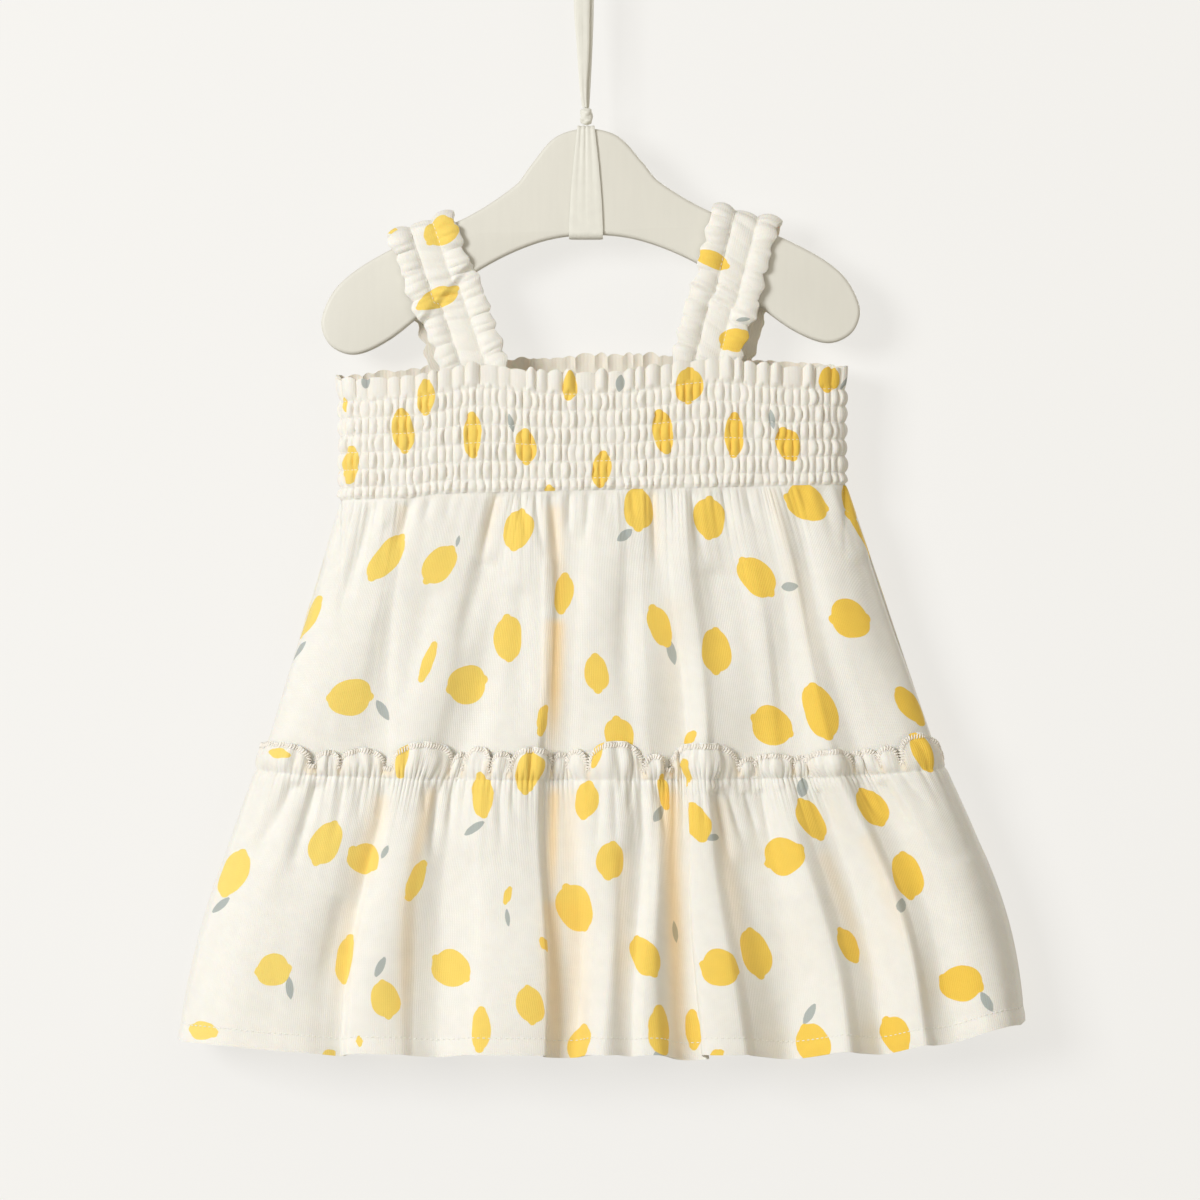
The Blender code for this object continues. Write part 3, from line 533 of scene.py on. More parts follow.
def print_hidden(cloth, seed):
    """Toss the same motifs over a panel that the picture hides, in a jittered lattice."""
    random = np.random.default_rng(seed)
    values = print_values(cloth)
    low, high = cloth.reshape(-1, 2).min(axis=0), cloth.reshape(-1, 2).max(axis=0)
    row = 0
    y = low[1] + HIDDEN_SPACING * 0.3
    while y < high[1] + HIDDEN_MARGIN:
        x = low[0] + HIDDEN_SPACING * (0.25 + 0.5 * (row % 2))
        while x < high[0] + HIDDEN_MARGIN:
            place = np.array([x, y]) + random.uniform(-HIDDEN_JITTER, HIDDEN_JITTER, 2)
            tilt, turn = random.uniform(-90.0, 90.0), random.uniform(0.0, 6.0)
            long, wide = random.uniform(*HIDDEN_LONG), random.uniform(*HIDDEN_WIDE)
            shape = lambda a, b: lemon_inside(a, b, long, wide, turn)
            stamp(values, "lemon_mm", cloth, place, tilt, 1.0, shape)
            if random.uniform() < LEAF_SHARE:
                leaf_tilt = tilt + random.uniform(*LEAF_TURN)
                place = place + pointing(tilt) * long / 2 + pointing(leaf_tilt) * LEAF_LONG / 2
                leaf = lambda a, b: leaf_inside(a, b, LEAF_LONG, LEAF_WIDE)
                stamp(values, "leaf_mm", cloth, place, leaf_tilt, 1.0, leaf)
            x += HIDDEN_SPACING
        y += HIDDEN_SPACING * HIDDEN_ROW_SHARE
        row += 1
    return values


def print_panel(side, outer, cloth, lemons, leaves, seed):
    """Print a panel as the picture shows it, or, at the back, as it may well be."""
    if side == FRONT:
        return print_as_seen(outer, cloth, lemons, leaves)
    return print_hidden(cloth, seed)


print("motifs charted:", len(BODICE_LEMONS + UPPER_LEMONS + LOWER_LEMONS + STRAP_LEMONS))

# %% [markdown]
# Cotton jersey is matt with a little fuzz, and its fine wales run down the cloth. Three effects
# are shared, so each is a node group: the knit's relief, the print's masks and a soft colour
# variation. The Principled shader stays in the material, with sheen set on its own socket.

# %% Node groups
COURSE_LEAN, COURSE_SHARE = 0.6, 0.22


def new_group(name, inputs, outputs):
    """A shader node group with its sockets: an input without a number is a place."""
    group = bpy.data.node_groups.new(name, "ShaderNodeTree")
    new_socket = group.interface.new_socket
    for title, value in inputs.items():
        if value is None:
            new_socket(title, in_out="INPUT", socket_type="NodeSocketVector")
        else:
            socket = new_socket(title, in_out="INPUT", socket_type="NodeSocketFloat")
            socket.default_value = value
    for title in outputs:
        new_socket(title, in_out="OUTPUT", socket_type="NodeSocketFloat")
    given, result = group.nodes.new("NodeGroupInput"), group.nodes.new("NodeGroupOutput")
    return group, given.outputs, result


def math_node(group, operation, first, second=None, clamp=False):
    """A math node fed by sockets or numbers."""
    node = group.nodes.new("ShaderNodeMath")
    node.operation = operation
    node.use_clamp = clamp
    for slot, value in enumerate((first, second)):
        if isinstance(value, bpy.types.NodeSocket):
            group.links.new(value, node.inputs[slot])
        elif value is not None:
            node.inputs[slot].default_value = value
    return node.outputs[0]


def knit_group():
    """Relief of fine jersey: narrow wales down the cloth, tiny courses across, and some fuzz."""
    sizes = {"Place": None, "Wale": 0.00105, "Course": 0.0008, "Fuzz": 0.35}
    group, given, result = new_group("jersey_knit", sizes, ["Height"])
    split = add_node(group, "ShaderNodeSeparateXYZ", Vector=given["Place"])
    across = math_node(group, "DIVIDE", split.outputs["X"], given["Wale"])
    wave = math_node(group, "SINE", math_node(group, "MULTIPLY", across, math.pi))
    wale = math_node(group, "ABSOLUTE", wave)
    lean = math_node(group, "MULTIPLY", wale, COURSE_LEAN)
    down = math_node(group, "DIVIDE", split.outputs["Y"], given["Course"])
    turns = math_node(group, "MULTIPLY", math_node(group, "ADD", down, lean), TURN)
    course = math_node(group, "SINE", turns)
    fuzz = add_node(group, "ShaderNodeTexNoise", Vector=given["Place"], Scale=900.0, Detail=2.0)
    fuzzed = math_node(group, "MULTIPLY", fuzz.outputs["Fac"], given["Fuzz"])
    knit = math_node(group, "ADD", wale, math_node(group, "MULTIPLY", course, COURSE_SHARE))
    feed(group, result, {"Height": math_node(group, "ADD", knit, fuzzed)})
    return group


def print_group():
    """Masks of the lemons and leaves from how far inside each shape the cloth lies."""
    sizes = {"Lemon": 0.0, "Leaf": 0.0, "Softness": 0.25, "Place": None, "Rough edge": 0.3}
    group, given, result = new_group("lemon_print", sizes, ["Lemon mask", "Leaf mask"])
    noise = add_node(group, "ShaderNodeTexNoise", Vector=given["Place"], Scale=420.0)
    wander = math_node(group, "SUBTRACT", noise.outputs["Fac"], 0.5)
    wander = math_node(group, "MULTIPLY", wander, given["Rough edge"])
    for kind in ("Lemon", "Leaf"):
        shifted = math_node(group, "ADD", given[kind], wander)
        scaled = math_node(group, "DIVIDE", shifted, given["Softness"])
        feed(group, result, {kind + " mask": math_node(group, "ADD", scaled, 0.5, clamp=True)})
    return group


def mottle_group():
    """A soft unevenness a little below 1 that keeps a plain colour from looking flat."""
    sizes = {"Place": None, "Scale": 60.0, "Depth": 0.06}
    group, given, result = new_group("soft_mottle", sizes, ["Factor"])
    noise = add_node(
        group, "ShaderNodeTexNoise", Vector=given["Place"], Scale=given["Scale"], Detail=3.0
    )
    depth = math_node(group, "MULTIPLY", noise.outputs["Fac"], given["Depth"])
    feed(group, result, {"Factor": math_node(group, "SUBTRACT", 1.0, depth)})
    return group


KNIT, PRINT, MOTTLE = knit_group(), print_group(), mottle_group()
print("node groups:", KNIT.name, PRINT.name, MOTTLE.name)

# %% [markdown]
# The jersey's material mixes four colours: cream cloth, yellow, grey, and a painted shade tint
# with a painted glow in the deep folds, in place of light that has passed through cloth. The
# yellow is painted paler on the lit left and deeper to the right, as painted light and shade.
# The reverse is plain.

# %% Cloth material
CREAM = (0.88, 0.857, 0.79)
REVERSE_CREAM = (0.86, 0.81, 0.70)
# Painted light and shade on the print: a paler yellow on the lit left, a deeper one to the right.
LEMON_PAINTED_LIT, LEMON_PAINTED_SHADE = (0.93, 0.73, 0.20), (0.92, 0.61, 0.085)
LEAF_GREY = (0.45, 0.485, 0.46)
# Painted shade tint and painted glow that deep folds, furrows and pinches are given.
PAINTED_SHADE_TINT = (0.97, 0.76, 0.47)
PAINTED_GLOW_COLOUR = (0.95, 0.62, 0.26)
PAINTED_GLOW_SHARE = 0.15
KNIT_BUMP_M = 0.00009
PAINTED_LIGHT_WIDTH_M, PAINTED_LIGHT_MIDDLE = 0.36, 0.62


def group_node(tree, group, **inputs):
    """Place a node group in a tree and fill its inputs."""
    node = tree.nodes.new("ShaderNodeGroup")
    node.node_tree = group
    return feed(tree, node, inputs)


def attribute(tree, name):
    """The value of a named attribute."""
    node = tree.nodes.new("ShaderNodeAttribute")
    node.attribute_name = name
    return node.outputs["Fac"]


def mix_colour(tree, factor, first, second, blend="MIX"):
    """Mix two colours, each a socket or a plain colour."""
    node = tree.nodes.new("ShaderNodeMix")
    node.data_type = "RGBA"
    node.blend_type = blend
    for slot, value in ((0, factor), (6, first), (7, second)):
        if isinstance(value, bpy.types.NodeSocket):
            tree.links.new(value, node.inputs[slot])
        else:
            node.inputs[slot].default_value = value if slot == 0 else (*value, 1.0)
    return node.outputs[2]


def darkened(tree, colour, factor):
    """A colour times a number that a socket gives."""
    grey = add_node(tree, "ShaderNodeCombineColor", Red=factor, Green=factor, Blue=factor)
    return mix_colour(tree, 1.0, colour, grey.outputs[0], blend="MULTIPLY")


def add_bump(tree, shader, height, strength, distance):
    """Give a shader a relief, with its distance in metres."""
    bump = add_node(tree, "ShaderNodeBump", Strength=strength, Distance=distance, Height=height)
    tree.links.new(bump.outputs["Normal"], shader.inputs["Normal"])


def object_place(tree):
    """The socket that gives a point's place on its piece, in metres."""
    return tree.nodes.new("ShaderNodeTexCoord").outputs["Object"]


def jersey_material():
    """Printed jersey, with painted shade and glow in folds and painted light on the yellow."""
    material, tree, shader = new_material(
        "printed_jersey", Emission_Color=(*PAINTED_GLOW_COLOUR, 1.0), Roughness=0.88,
        Specular_IOR_Level=0.25, Sheen_Weight=0.2, Sheen_Roughness=0.5, Subsurface_Weight=0.18,
        Subsurface_Radius=(1.0, 0.66, 0.36), Subsurface_Scale=0.0014,
    )
    uv = tree.nodes.new("ShaderNodeUVMap")
    uv.uv_map = "cloth_place"
    place = uv.outputs["UV"]
    lemon, leaf, painted_shade_glow = (attribute(tree, name) for name in ("lemon_mm", "leaf_mm", "painted_shade_glow"))
    masks = group_node(tree, PRINT, Lemon=lemon, Leaf=leaf, Place=place)
    mottle = group_node(tree, MOTTLE, Place=place, Scale=45.0, Depth=0.05)
    fade = group_node(tree, MOTTLE, Place=place, Scale=130.0, Depth=0.10)
    cloth = mix_colour(tree, attribute(tree, "reverse"), CREAM, REVERSE_CREAM)
    cloth = mix_colour(tree, masks.outputs["Leaf mask"], cloth, LEAF_GREY)
    # Painted light and shade: the yellow goes from paler on the lit left to deeper on the right.
    split = add_node(tree, "ShaderNodeSeparateXYZ", Vector=object_place(tree))
    painted_shade_share = math_node(tree, "DIVIDE", split.outputs["X"], PAINTED_LIGHT_WIDTH_M)
    painted_shade_share = math_node(tree, "ADD", painted_shade_share, PAINTED_LIGHT_MIDDLE, clamp=True)
    yellow = mix_colour(tree, painted_shade_share, LEMON_PAINTED_LIT, LEMON_PAINTED_SHADE)
    cloth = mix_colour(tree, masks.outputs["Lemon mask"], cloth, yellow)
    # Painted shade and painted glow: the tint darkens the deep folds, and a faint emission lights
    # them.
    cloth = mix_colour(tree, painted_shade_glow, cloth, PAINTED_SHADE_TINT, blend="MULTIPLY")
    uneven = math_node(tree, "MULTIPLY", mottle.outputs[0], fade.outputs[0])
    painted_glow_strength = math_node(tree, "MULTIPLY", painted_shade_glow, PAINTED_GLOW_SHARE)
    looks = {"Base Color": darkened(tree, cloth, uneven), "Emission Strength": painted_glow_strength}
    feed(tree, shader, looks)
    knit = group_node(tree, KNIT, Place=place)
    add_bump(tree, shader, knit.outputs["Height"], 0.8, KNIT_BUMP_M)
    return material


def thread_material(name, colour):
    """Matt cotton thread with a fine twist."""
    material, tree, shader = new_material(name, Roughness=0.75, Sheen_Weight=0.1)
    mottle = group_node(tree, MOTTLE, Place=object_place(tree), Scale=700.0, Depth=0.18)
    feed(tree, shader, {"Base Color": darkened(tree, colour, mottle.outputs[0])})
    return material


JERSEY = jersey_material()
THREAD = thread_material("white_thread", (0.93, 0.905, 0.83))
OVERLOCK_THREAD = thread_material("overlock_thread", (0.93, 0.875, 0.79))
print("cloth materials:", JERSEY.name, THREAD.name)

# %% [markdown]
# The bodice is smocked. Six rows of elastic thread draw the strip in, and the cloth between them
# puffs into small upright pillows, pinched at every row, with a frilled header above the first.
# A formula gives this relief: an arch across each ridge, times an arch between each two rows, with
# a little unevenness for every pillow. The relief is raised from a flattened tube, whose sizes are
# the solid's own.

# %% Bodice form
BODICE_CENTRE_X, BODICE_HALF_WIDTH = 3.0, 116.0
BODICE_FRONT_DEPTH, BODICE_BACK_DEPTH = 15.0, 10.5
RING_SQUARENESS = 3.0
FRONT_TOP_Z, BACK_TOP_Z, BACK_TOP_DROP = -200.6, -191.5, 8.0
BODICE_SEAM_Z = -253.3
LEFT_STEP, LEFT_STEP_X, LEFT_STEP_REACH = 1.6, -68.0, 14.0
HANG_TILT = 0.024
HEADER_SHARE = 0.17
STITCH_ROWS = 6
SMOCK_RIDGES = 68
HEADER_PUFFS = 38
PUFF_HEIGHT, PUFF_SIZES, PUFF_ROUNDNESS = 2.05, (0.55, 1.25), 0.58
PINCH_LEFT = 0.16
HEADER_PUFF_HEIGHT, HEADER_SIZES = 2.2, (0.35, 1.4)
HEADER_FLARE = 1.0
HEADER_ROUNDNESS = 0.6
ROW_SPACES = STITCH_ROWS - 0.3
RING_STEPS = 2880
# Painted shade and glow in the smocking's furrows.
FURROW_PAINTED_SHADE = 0.12
HEADER_PUFF_RISE = 2.1
SEAM_LAP = 0.45
SEAM_FLATTENING, SEAM_FLAT_FROM = 0.75, 0.965
BODICE_CUT_WIDTH, BODICE_CUT_HEIGHT = 385.0, 60.0
StrapPull = namedtuple("StrapPull", "x reach lift")
STRAP_PULLS = (StrapPull(-49.0, 22.0, 5.2), StrapPull(56.0, 25.0, 5.0))


def tilt(x):
    """How much higher the dress hangs at x, because the hanger tilts."""
    return HANG_TILT * (x - BODICE_CENTRE_X)


def seam_z(x):
    """Height of the seam between bodice and skirt, with the small step that the left side has."""
    return BODICE_SEAM_Z + tilt(x) - LEFT_STEP * ease((LEFT_STEP_X - x) / LEFT_STEP_REACH)


def ring_depth(x, depth):
    """How far the bodice's flattened tube stands out at x."""
    share = np.clip(np.abs(x - BODICE_CENTRE_X) / BODICE_HALF_WIDTH, 0.0, 1.0)
    return depth * (1.0 - share**RING_SQUARENESS) ** (1.0 / RING_SQUARENESS)


def bodice_top_z(x, side):
    """Height of the header's edge: lifted at the straps in front, arched at the back."""
    if side == BACK:
        aside = (x - BODICE_CENTRE_X) / BODICE_HALF_WIDTH
        return BACK_TOP_Z + tilt(x) - BACK_TOP_DROP * aside**2
    lift = sum(pull.lift * np.exp(-(((x - pull.x) / pull.reach) ** 2)) for pull in STRAP_PULLS)
    return FRONT_TOP_Z + tilt(x) + lift


def bodice_ring(side, columns):
    """Half of the bodice's tube as x and y, evenly spaced from the left to the right seam."""
    depth = BODICE_FRONT_DEPTH if side == FRONT else BODICE_BACK_DEPTH
    turn = np.linspace(math.pi, 0.0, RING_STEPS + 1)
    power = 2.0 / RING_SQUARENESS
    x = BODICE_CENTRE_X + BODICE_HALF_WIDTH * np.sign(np.cos(turn)) * np.abs(np.cos(turn)) ** power
    y = side * depth * np.abs(np.sin(turn)) ** power
    return evenly(np.column_stack([x, y]), columns)


def smocking_relief(across, down, seed):
    """Raised height of the smocking, and how deep in a furrow each point lies."""
    random = np.random.default_rng(seed)
    rows_down = (down - HEADER_SHARE) / (1.0 - HEADER_SHARE) * ROW_SPACES
    row = np.clip(np.floor(rows_down).astype(int), -1, STITCH_ROWS - 1)
    between = np.clip(rows_down - row, 0.0, 1.0)
    wander = 0.15 * np.sin(across * TURN * 7.3 + row * 1.9)
    wander += 0.13 * np.sin(across * 141.0 + row * 4.1)
    ridge = across * SMOCK_RIDGES + wander * np.sin(math.pi * between)
    number = np.clip(np.floor(ridge).astype(int), 0, SMOCK_RIDGES - 1)
    height_table = random.uniform(*PUFF_SIZES, (STITCH_ROWS + 1, SMOCK_RIDGES))
    arch = np.abs(np.sin(math.pi * ridge)) ** PUFF_ROUNDNESS
    pillow = PINCH_LEFT + (1.0 - PINCH_LEFT) * np.sin(math.pi * between) ** 0.6
    smock = PUFF_HEIGHT * arch * pillow * height_table[row + 1, number]
    uneven = across * HEADER_PUFFS + 0.22 * np.sin(across * TURN * 5.1)
    uneven += 0.12 * np.sin(across * 97.0)
    header_number = np.clip(np.floor(uneven).astype(int), 0, HEADER_PUFFS)
    header_table = random.uniform(*HEADER_SIZES, HEADER_PUFFS + 1)
    above = np.clip((HEADER_SHARE - down) / HEADER_SHARE, 0.0, 1.0)
    puff = np.abs(np.sin(math.pi * uneven)) ** HEADER_ROUNDNESS
    tube = puff * header_table[header_number]
    fullness = np.sin(math.pi * np.clip(above * 0.62 + 0.1, 0, 1)) ** 0.8
    header = HEADER_PUFF_HEIGHT * tube * (0.35 + 0.65 * fullness) + HEADER_FLARE * above
    mix = ease(above * 4.0)
    relief = smock * (1.0 - mix) + header * mix
    relief *= 1.0 - SEAM_FLATTENING * ease((down - SEAM_FLAT_FROM) / (1.0 - SEAM_FLAT_FROM))
    furrow = (1.0 - arch) * (1.0 - mix) + (1.0 - puff) * mix
    return relief, furrow, above * tube


def make_bodice(name, side, columns_per_ridge, rows, seed):
    """A smocked panel with its outer face in full and a plain reverse."""
    columns = SMOCK_RIDGES * columns_per_ridge
    ring = bodice_ring(side, columns)
    across, down = np.meshgrid(np.linspace(0, 1, columns + 1), np.linspace(0, 1, rows + 1))
    relief, furrow, header_tube = smocking_relief(across, down, seed)
    top = bodice_top_z(ring[:, 0], side)
    bottom = seam_z(ring[:, 0]) - SEAM_LAP
    x, y = (np.broadcast_to(axis, down.shape) for axis in ring.T)
    plain = np.dstack([x, y, top + (bottom - top) * down])
    middle = np.dstack([x, y, plain[..., 2] + HEADER_PUFF_RISE * header_tube])
    normals = outward_normals(plain, side)
    normals[..., 2] = 0.0
    normals /= np.linalg.norm(normals, axis=2, keepdims=True)
    outer = on_its_side(middle + normals * (WALL / 2 + relief)[..., None], side)
    header_relief = 0.85 * relief * ease((HEADER_SHARE - down) / HEADER_SHARE * 3.0)
    inner = on_its_side(middle + normals * (header_relief - WALL / 2)[..., None], side)
    cloth = np.dstack([across * BODICE_CUT_WIDTH, (1.0 - down) * BODICE_CUT_HEIGHT])
    values = print_panel(side, outer, cloth, BODICE_LEMONS, BODICE_LEAVES, seed)
    # Painted shade and painted glow, deepest in the furrows between the pillows.
    values["painted_shade_glow"] = FURROW_PAINTED_SHADE * furrow**1.5
    return cloth_wall(name, outer, inner, values, cloth), outer, normals


bodice_front, *bodice_front_skin = make_bodice("smocked_bodice_front", FRONT, 10, 96, seed=11)
bodice_back, *bodice_back_skin = make_bodice("smocked_bodice_back", BACK, 7, 78, seed=12)

# %% [markdown]
# The skirt hangs in deep folds. Each row of the next table is one crown or valley that runs down
# both tiers: where it lies across and how far it stands out at the bodice seam, at the tier seam
# and at the hem. A smooth curve through a level's points is a section of the skirt. Between the
# levels the lines sway and swell a little, as no real fold hangs quite straight. Where a crown's
# row lies beyond the valley next to it, the fold rolls over and shows a sharp edge.

# %% Skirt folds
TIER_SEAM_Z, TIER_SEAM_SIDE_RISE, TIER_HALF_WIDTH = -387.5, 4.5, 160.0
HEM_Z, HEM_LEFT_RISE, HEM_RIGHT_RISE, HEM_HALF_WIDTH = -513.5, 11.5, 14.8, 196.0
HEM_DIP_SHARE, HEM_DIP_LIMIT = 0.26, 17.0
PINCH_REACH = 0.09
UPPER_SOFTNESS = 0.36
SWAY, SWELL = 2.0, 0.8
LEFT_BOW, RIGHT_BOW = 6.5, 8.5
UPPER_CUT_WIDTH, UPPER_CUT_HEIGHT = 385.0, 134.0
LOWER_CUT_WIDTH, LOWER_CUT_HEIGHT = 520.0, 146.0

FoldLine = namedtuple("FoldLine", "x_bodice x_seam x_hem out_bodice out_seam out_hem")
FRONT_FOLDS = named_rows(
    FoldLine,
    (-113.5, -151.5, -189.0, 0.0, 0.0, 0.0), (-112.0, -149.0, -186.0, 7.0, 8.0, 9.0),
    (-106.0, -136.5, -168.0, 12.5, 17.0, 21.0), (-97.0, -119.0, -142.0, 14.5, 18.5, 24.5),
    (-90.0, -108.5, -128.0, 14.8, 18.6, 24.0), (-86.5, -101.5, -119.5, 14.2, 17.3, 21.0),
    (-83.0, -95.0, -111.5, 14.0, 16.2, 18.5), (-79.0, -90.0, -108.8, 15.2, 18.5, 24.5),
    (-62.0, -83.5, -98.0, 16.0, 20.5, 28.5), (-46.5, -76.5, -87.0, 16.2, 20.5, 27.5),
    (-42.0, -69.0, -81.5, 14.9, 17.6, 23.0), (-34.5, -59.0, -70.0, 13.7, 14.8, 19.5),
    (-28.0, -44.0, -50.0, 16.5, 20.5, 28.0), (-19.0, -22.0, -20.5, 17.3, 22.0, 30.0),
    (-13.5, -17.5, -19.0, 15.0, 17.8, 21.5), (-6.0, -7.0, -4.0, 14.2, 15.8, 19.5),
    (1.5, 1.5, 3.5, 16.5, 19.0, 26.0), (11.5, 13.0, 11.0, 17.0, 21.5, 29.0),
    (18.5, 22.5, 22.5, 15.7, 18.0, 22.5), (24.0, 28.0, 29.0, 16.3, 19.5, 26.5),
    (27.0, 31.0, 35.5, 16.2, 19.3, 26.0), (32.5, 39.5, 43.5, 14.8, 15.6, 13.0),
    (36.5, 46.0, 55.5, 14.8, 15.2, 14.0), (40.0, 48.5, 53.0, 16.0, 19.0, 26.0),
    (45.5, 55.0, 70.0, 17.6, 22.0, 29.0), (49.5, 60.5, 76.0, 15.8, 18.4, 23.0),
    (60.0, 80.0, 94.0, 12.8, 12.6, 13.5), (70.0, 91.0, 119.0, 14.4, 17.0, 27.0),
    (74.0, 97.0, 127.0, 13.8, 14.0, 19.5), (80.0, 105.5, 139.0, 13.8, 12.0, 13.0),
    (85.0, 117.0, 157.0, 16.2, 20.3, 25.0), (88.5, 121.5, 163.5, 14.4, 16.6, 20.0),
    (93.0, 129.0, 173.0, 12.8, 13.4, 17.5), (101.0, 140.0, 186.5, 14.5, 17.5, 22.5),
    (111.0, 153.0, 195.0, 12.5, 16.0, 19.0), (119.0, 162.5, 200.5, 7.0, 8.0, 9.5),
    (120.5, 165.0, 203.5, 0.0, 0.0, 0.0),
)
BACK_FOLDS = named_rows(
    FoldLine,
    (-113.5, -151.5, -189.0, 0.0, 0.0, 0.0), (-111.5, -148.5, -185.5, 6.0, 7.0, 8.0),
    (-98.0, -133.0, -160.0, 10.0, 12.5, 15.5), (-84.0, -112.0, -136.0, 8.5, 8.0, 8.0),
    (-70.0, -97.0, -112.0, 10.5, 14.0, 18.0), (-55.0, -72.0, -86.0, 9.0, 8.5, 9.0),
    (-41.0, -54.0, -66.0, 11.5, 15.0, 19.5), (-27.0, -38.0, -42.0, 9.5, 8.0, 7.0),
    (-12.0, -18.0, -17.0, 11.5, 14.5, 18.5), (2.0, 4.0, 6.0, 9.5, 9.0, 9.0),
    (16.0, 22.0, 30.0, 12.0, 15.5, 20.0), (29.0, 41.0, 52.0, 9.5, 8.0, 8.0),
    (45.0, 60.0, 76.0, 11.5, 14.0, 18.0), (60.0, 80.0, 99.0, 9.5, 9.0, 9.5),
    (76.0, 101.0, 124.0, 10.5, 14.5, 18.5), (90.0, 122.0, 150.0, 8.5, 8.0, 8.5),
    (105.0, 142.0, 177.0, 10.0, 12.0, 15.0), (118.5, 162.0, 200.0, 6.0, 7.0, 8.0),
    (120.5, 165.0, 203.5, 0.0, 0.0, 0.0),
)


def fold_rail(folds, level, upper):
    """x and out of every fold line at a level: 0 bodice seam, 1 tier seam, 2 hem. The lines sway a
    little on their way down, the upper tier's folds are softer at the tier seam, and the lower
    tier bows out at its sides."""
    rails = np.array(folds).reshape(-1, 2, 3)
    if upper:
        at_seam = rails[:, 1, 1]
        near = (at_seam[2:] + at_seam[:-2]) / 2
        at_seam[1:-1] += UPPER_SOFTNESS * (near - at_seam[1:-1])
    tier = min(int(level), 1)
    start, end = rails[..., tier].T, rails[..., tier + 1].T
    x, out = start + (end - start) * (level - tier)
    number = np.arange(len(rails))
    inner = np.clip(np.minimum(number, number[::-1]) / 3.0, 0.0, 1.0) * min(1.0, level / 0.4)
    x = x + SWAY * inner * np.sin(TURN * 0.75 * level + 0.45 * number)
    out = out + SWELL * inner * np.sin(TURN * 1.15 * level + 1.1 * number)
    bow = np.where(x < 0, -LEFT_BOW, RIGHT_BOW) * (x / HEM_HALF_WIDTH) ** 2
    x = x + bow * math.sin(math.pi * max(0.0, level - 1.0))
    return np.column_stack([x, out])


def hem_z(x, out, folds):
    """Height of the hem: it rises to the sides and dips where the cloth folds inwards."""
    rise = np.where(x < 0, HEM_LEFT_RISE, HEM_RIGHT_RISE) * np.abs(x / HEM_HALF_WIDTH) ** 5
    furthest = max(fold.out_hem for fold in folds)
    return HEM_Z + rise - HEM_DIP_SHARE * np.clip(furthest - 3.0 - out, 0.0, HEM_DIP_LIMIT)


def skirt_row(folds, side, level, shares, upper=False):
    """Points of the skirt's middle surface at one level."""
    hem = fold_rail(folds, 2.0, upper)
    knots = chord_shares(hem)
    x, out = through(fold_rail(folds, level, upper), knots, shares).T
    x_hem, out_hem = through(hem, knots, shares).T
    depth = BODICE_FRONT_DEPTH if side == FRONT else BODICE_BACK_DEPTH
    pinch = math.exp(-level / PINCH_REACH)
    out = out * (1.0 - pinch) + ring_depth(x, depth) * pinch
    tier_z = TIER_SEAM_Z + TIER_SEAM_SIDE_RISE * np.abs(x / TIER_HALF_WIDTH) ** 3
    if level <= 1.0:
        top = seam_z(x) - SEAM_GAP / 2
        z = top + (tier_z - top) * level
    else:
        z = tier_z + (hem_z(x_hem, out_hem, folds) - tier_z) * (level - 1.0)
    return np.column_stack([x, side * out, z])


hem_length = line_length(fold_rail(FRONT_FOLDS, 2.0, upper=False))
print("length of the front hem along its folds:", round(hem_length), "mm")

# %% [markdown]
# The folds alone look too smooth, so the creases that the picture shows are laid over them: each
# is a soft trough or ridge along a line, with its own length, depth and width. The line is charted
# as it is seen, and a point of the cloth is moved by how near it lies to the line. The same rows,
# in another list, say where the deep folds are given a painted shade and a painted glow.

# %% Creases and painted glow in the folds
CREASE_GAIN = 1.7
HIDDEN_CREASES = 34
UPPER_GATHERS, UPPER_GATHER, UPPER_GATHER_REACH = 46, 0.34, 0.13
UPPER_FINE_GATHERS, UPPER_FINE_SHARE = 88, 0.6
UPPER_LIMIT = 1.1
Crease = namedtuple("Crease", "px1 py1 px2 py2 depth half_width")
UPPER_CREASES = named_rows(
    Crease,
    (373, 505, 340, 610, -1.3, 4.5), (411, 498, 398, 545, -1.4, 3.0),
    (390, 500, 380, 530, 0.8, 4.0), (430, 498, 424, 520, -0.6, 2.5),
    (452, 492, 446, 520, -0.5, 2.5), (497, 490, 482, 560, -1.5, 3.0),
    (486, 560, 458, 650, -1.2, 6.0), (520, 490, 524, 530, -0.9, 2.2),
    (535, 490, 541, 545, -1.0, 2.2), (551, 492, 558, 560, -1.2, 3.0),
    (570, 491, 568, 530, -0.9, 2.2), (590, 491, 584, 540, -1.0, 2.4),
    (607, 491, 606, 516, -0.5, 2.0), (652, 490, 656, 560, -1.2, 3.0),
    (630, 491, 633, 515, -0.6, 2.2), (672, 489, 676, 520, -0.5, 2.2),
    (692, 488, 702, 560, -1.0, 3.0), (722, 487, 731, 530, -0.8, 2.6),
    (744, 486, 752, 520, -0.7, 2.2), (800, 486, 808, 510, -0.4, 2.4),
    (822, 486, 832, 530, -0.5, 3.0), (711, 570, 722, 700, -0.9, 8.0),
    (548, 560, 547, 735, 1.0, 3.0), (520, 590, 520, 730, -0.8, 7.0),
    (620, 560, 625, 700, -0.6, 8.0), (860, 560, 900, 680, -0.6, 9.0),
    (330, 560, 300, 650, -0.5, 8.0), (430, 590, 400, 720, -0.8, 7.0),
)
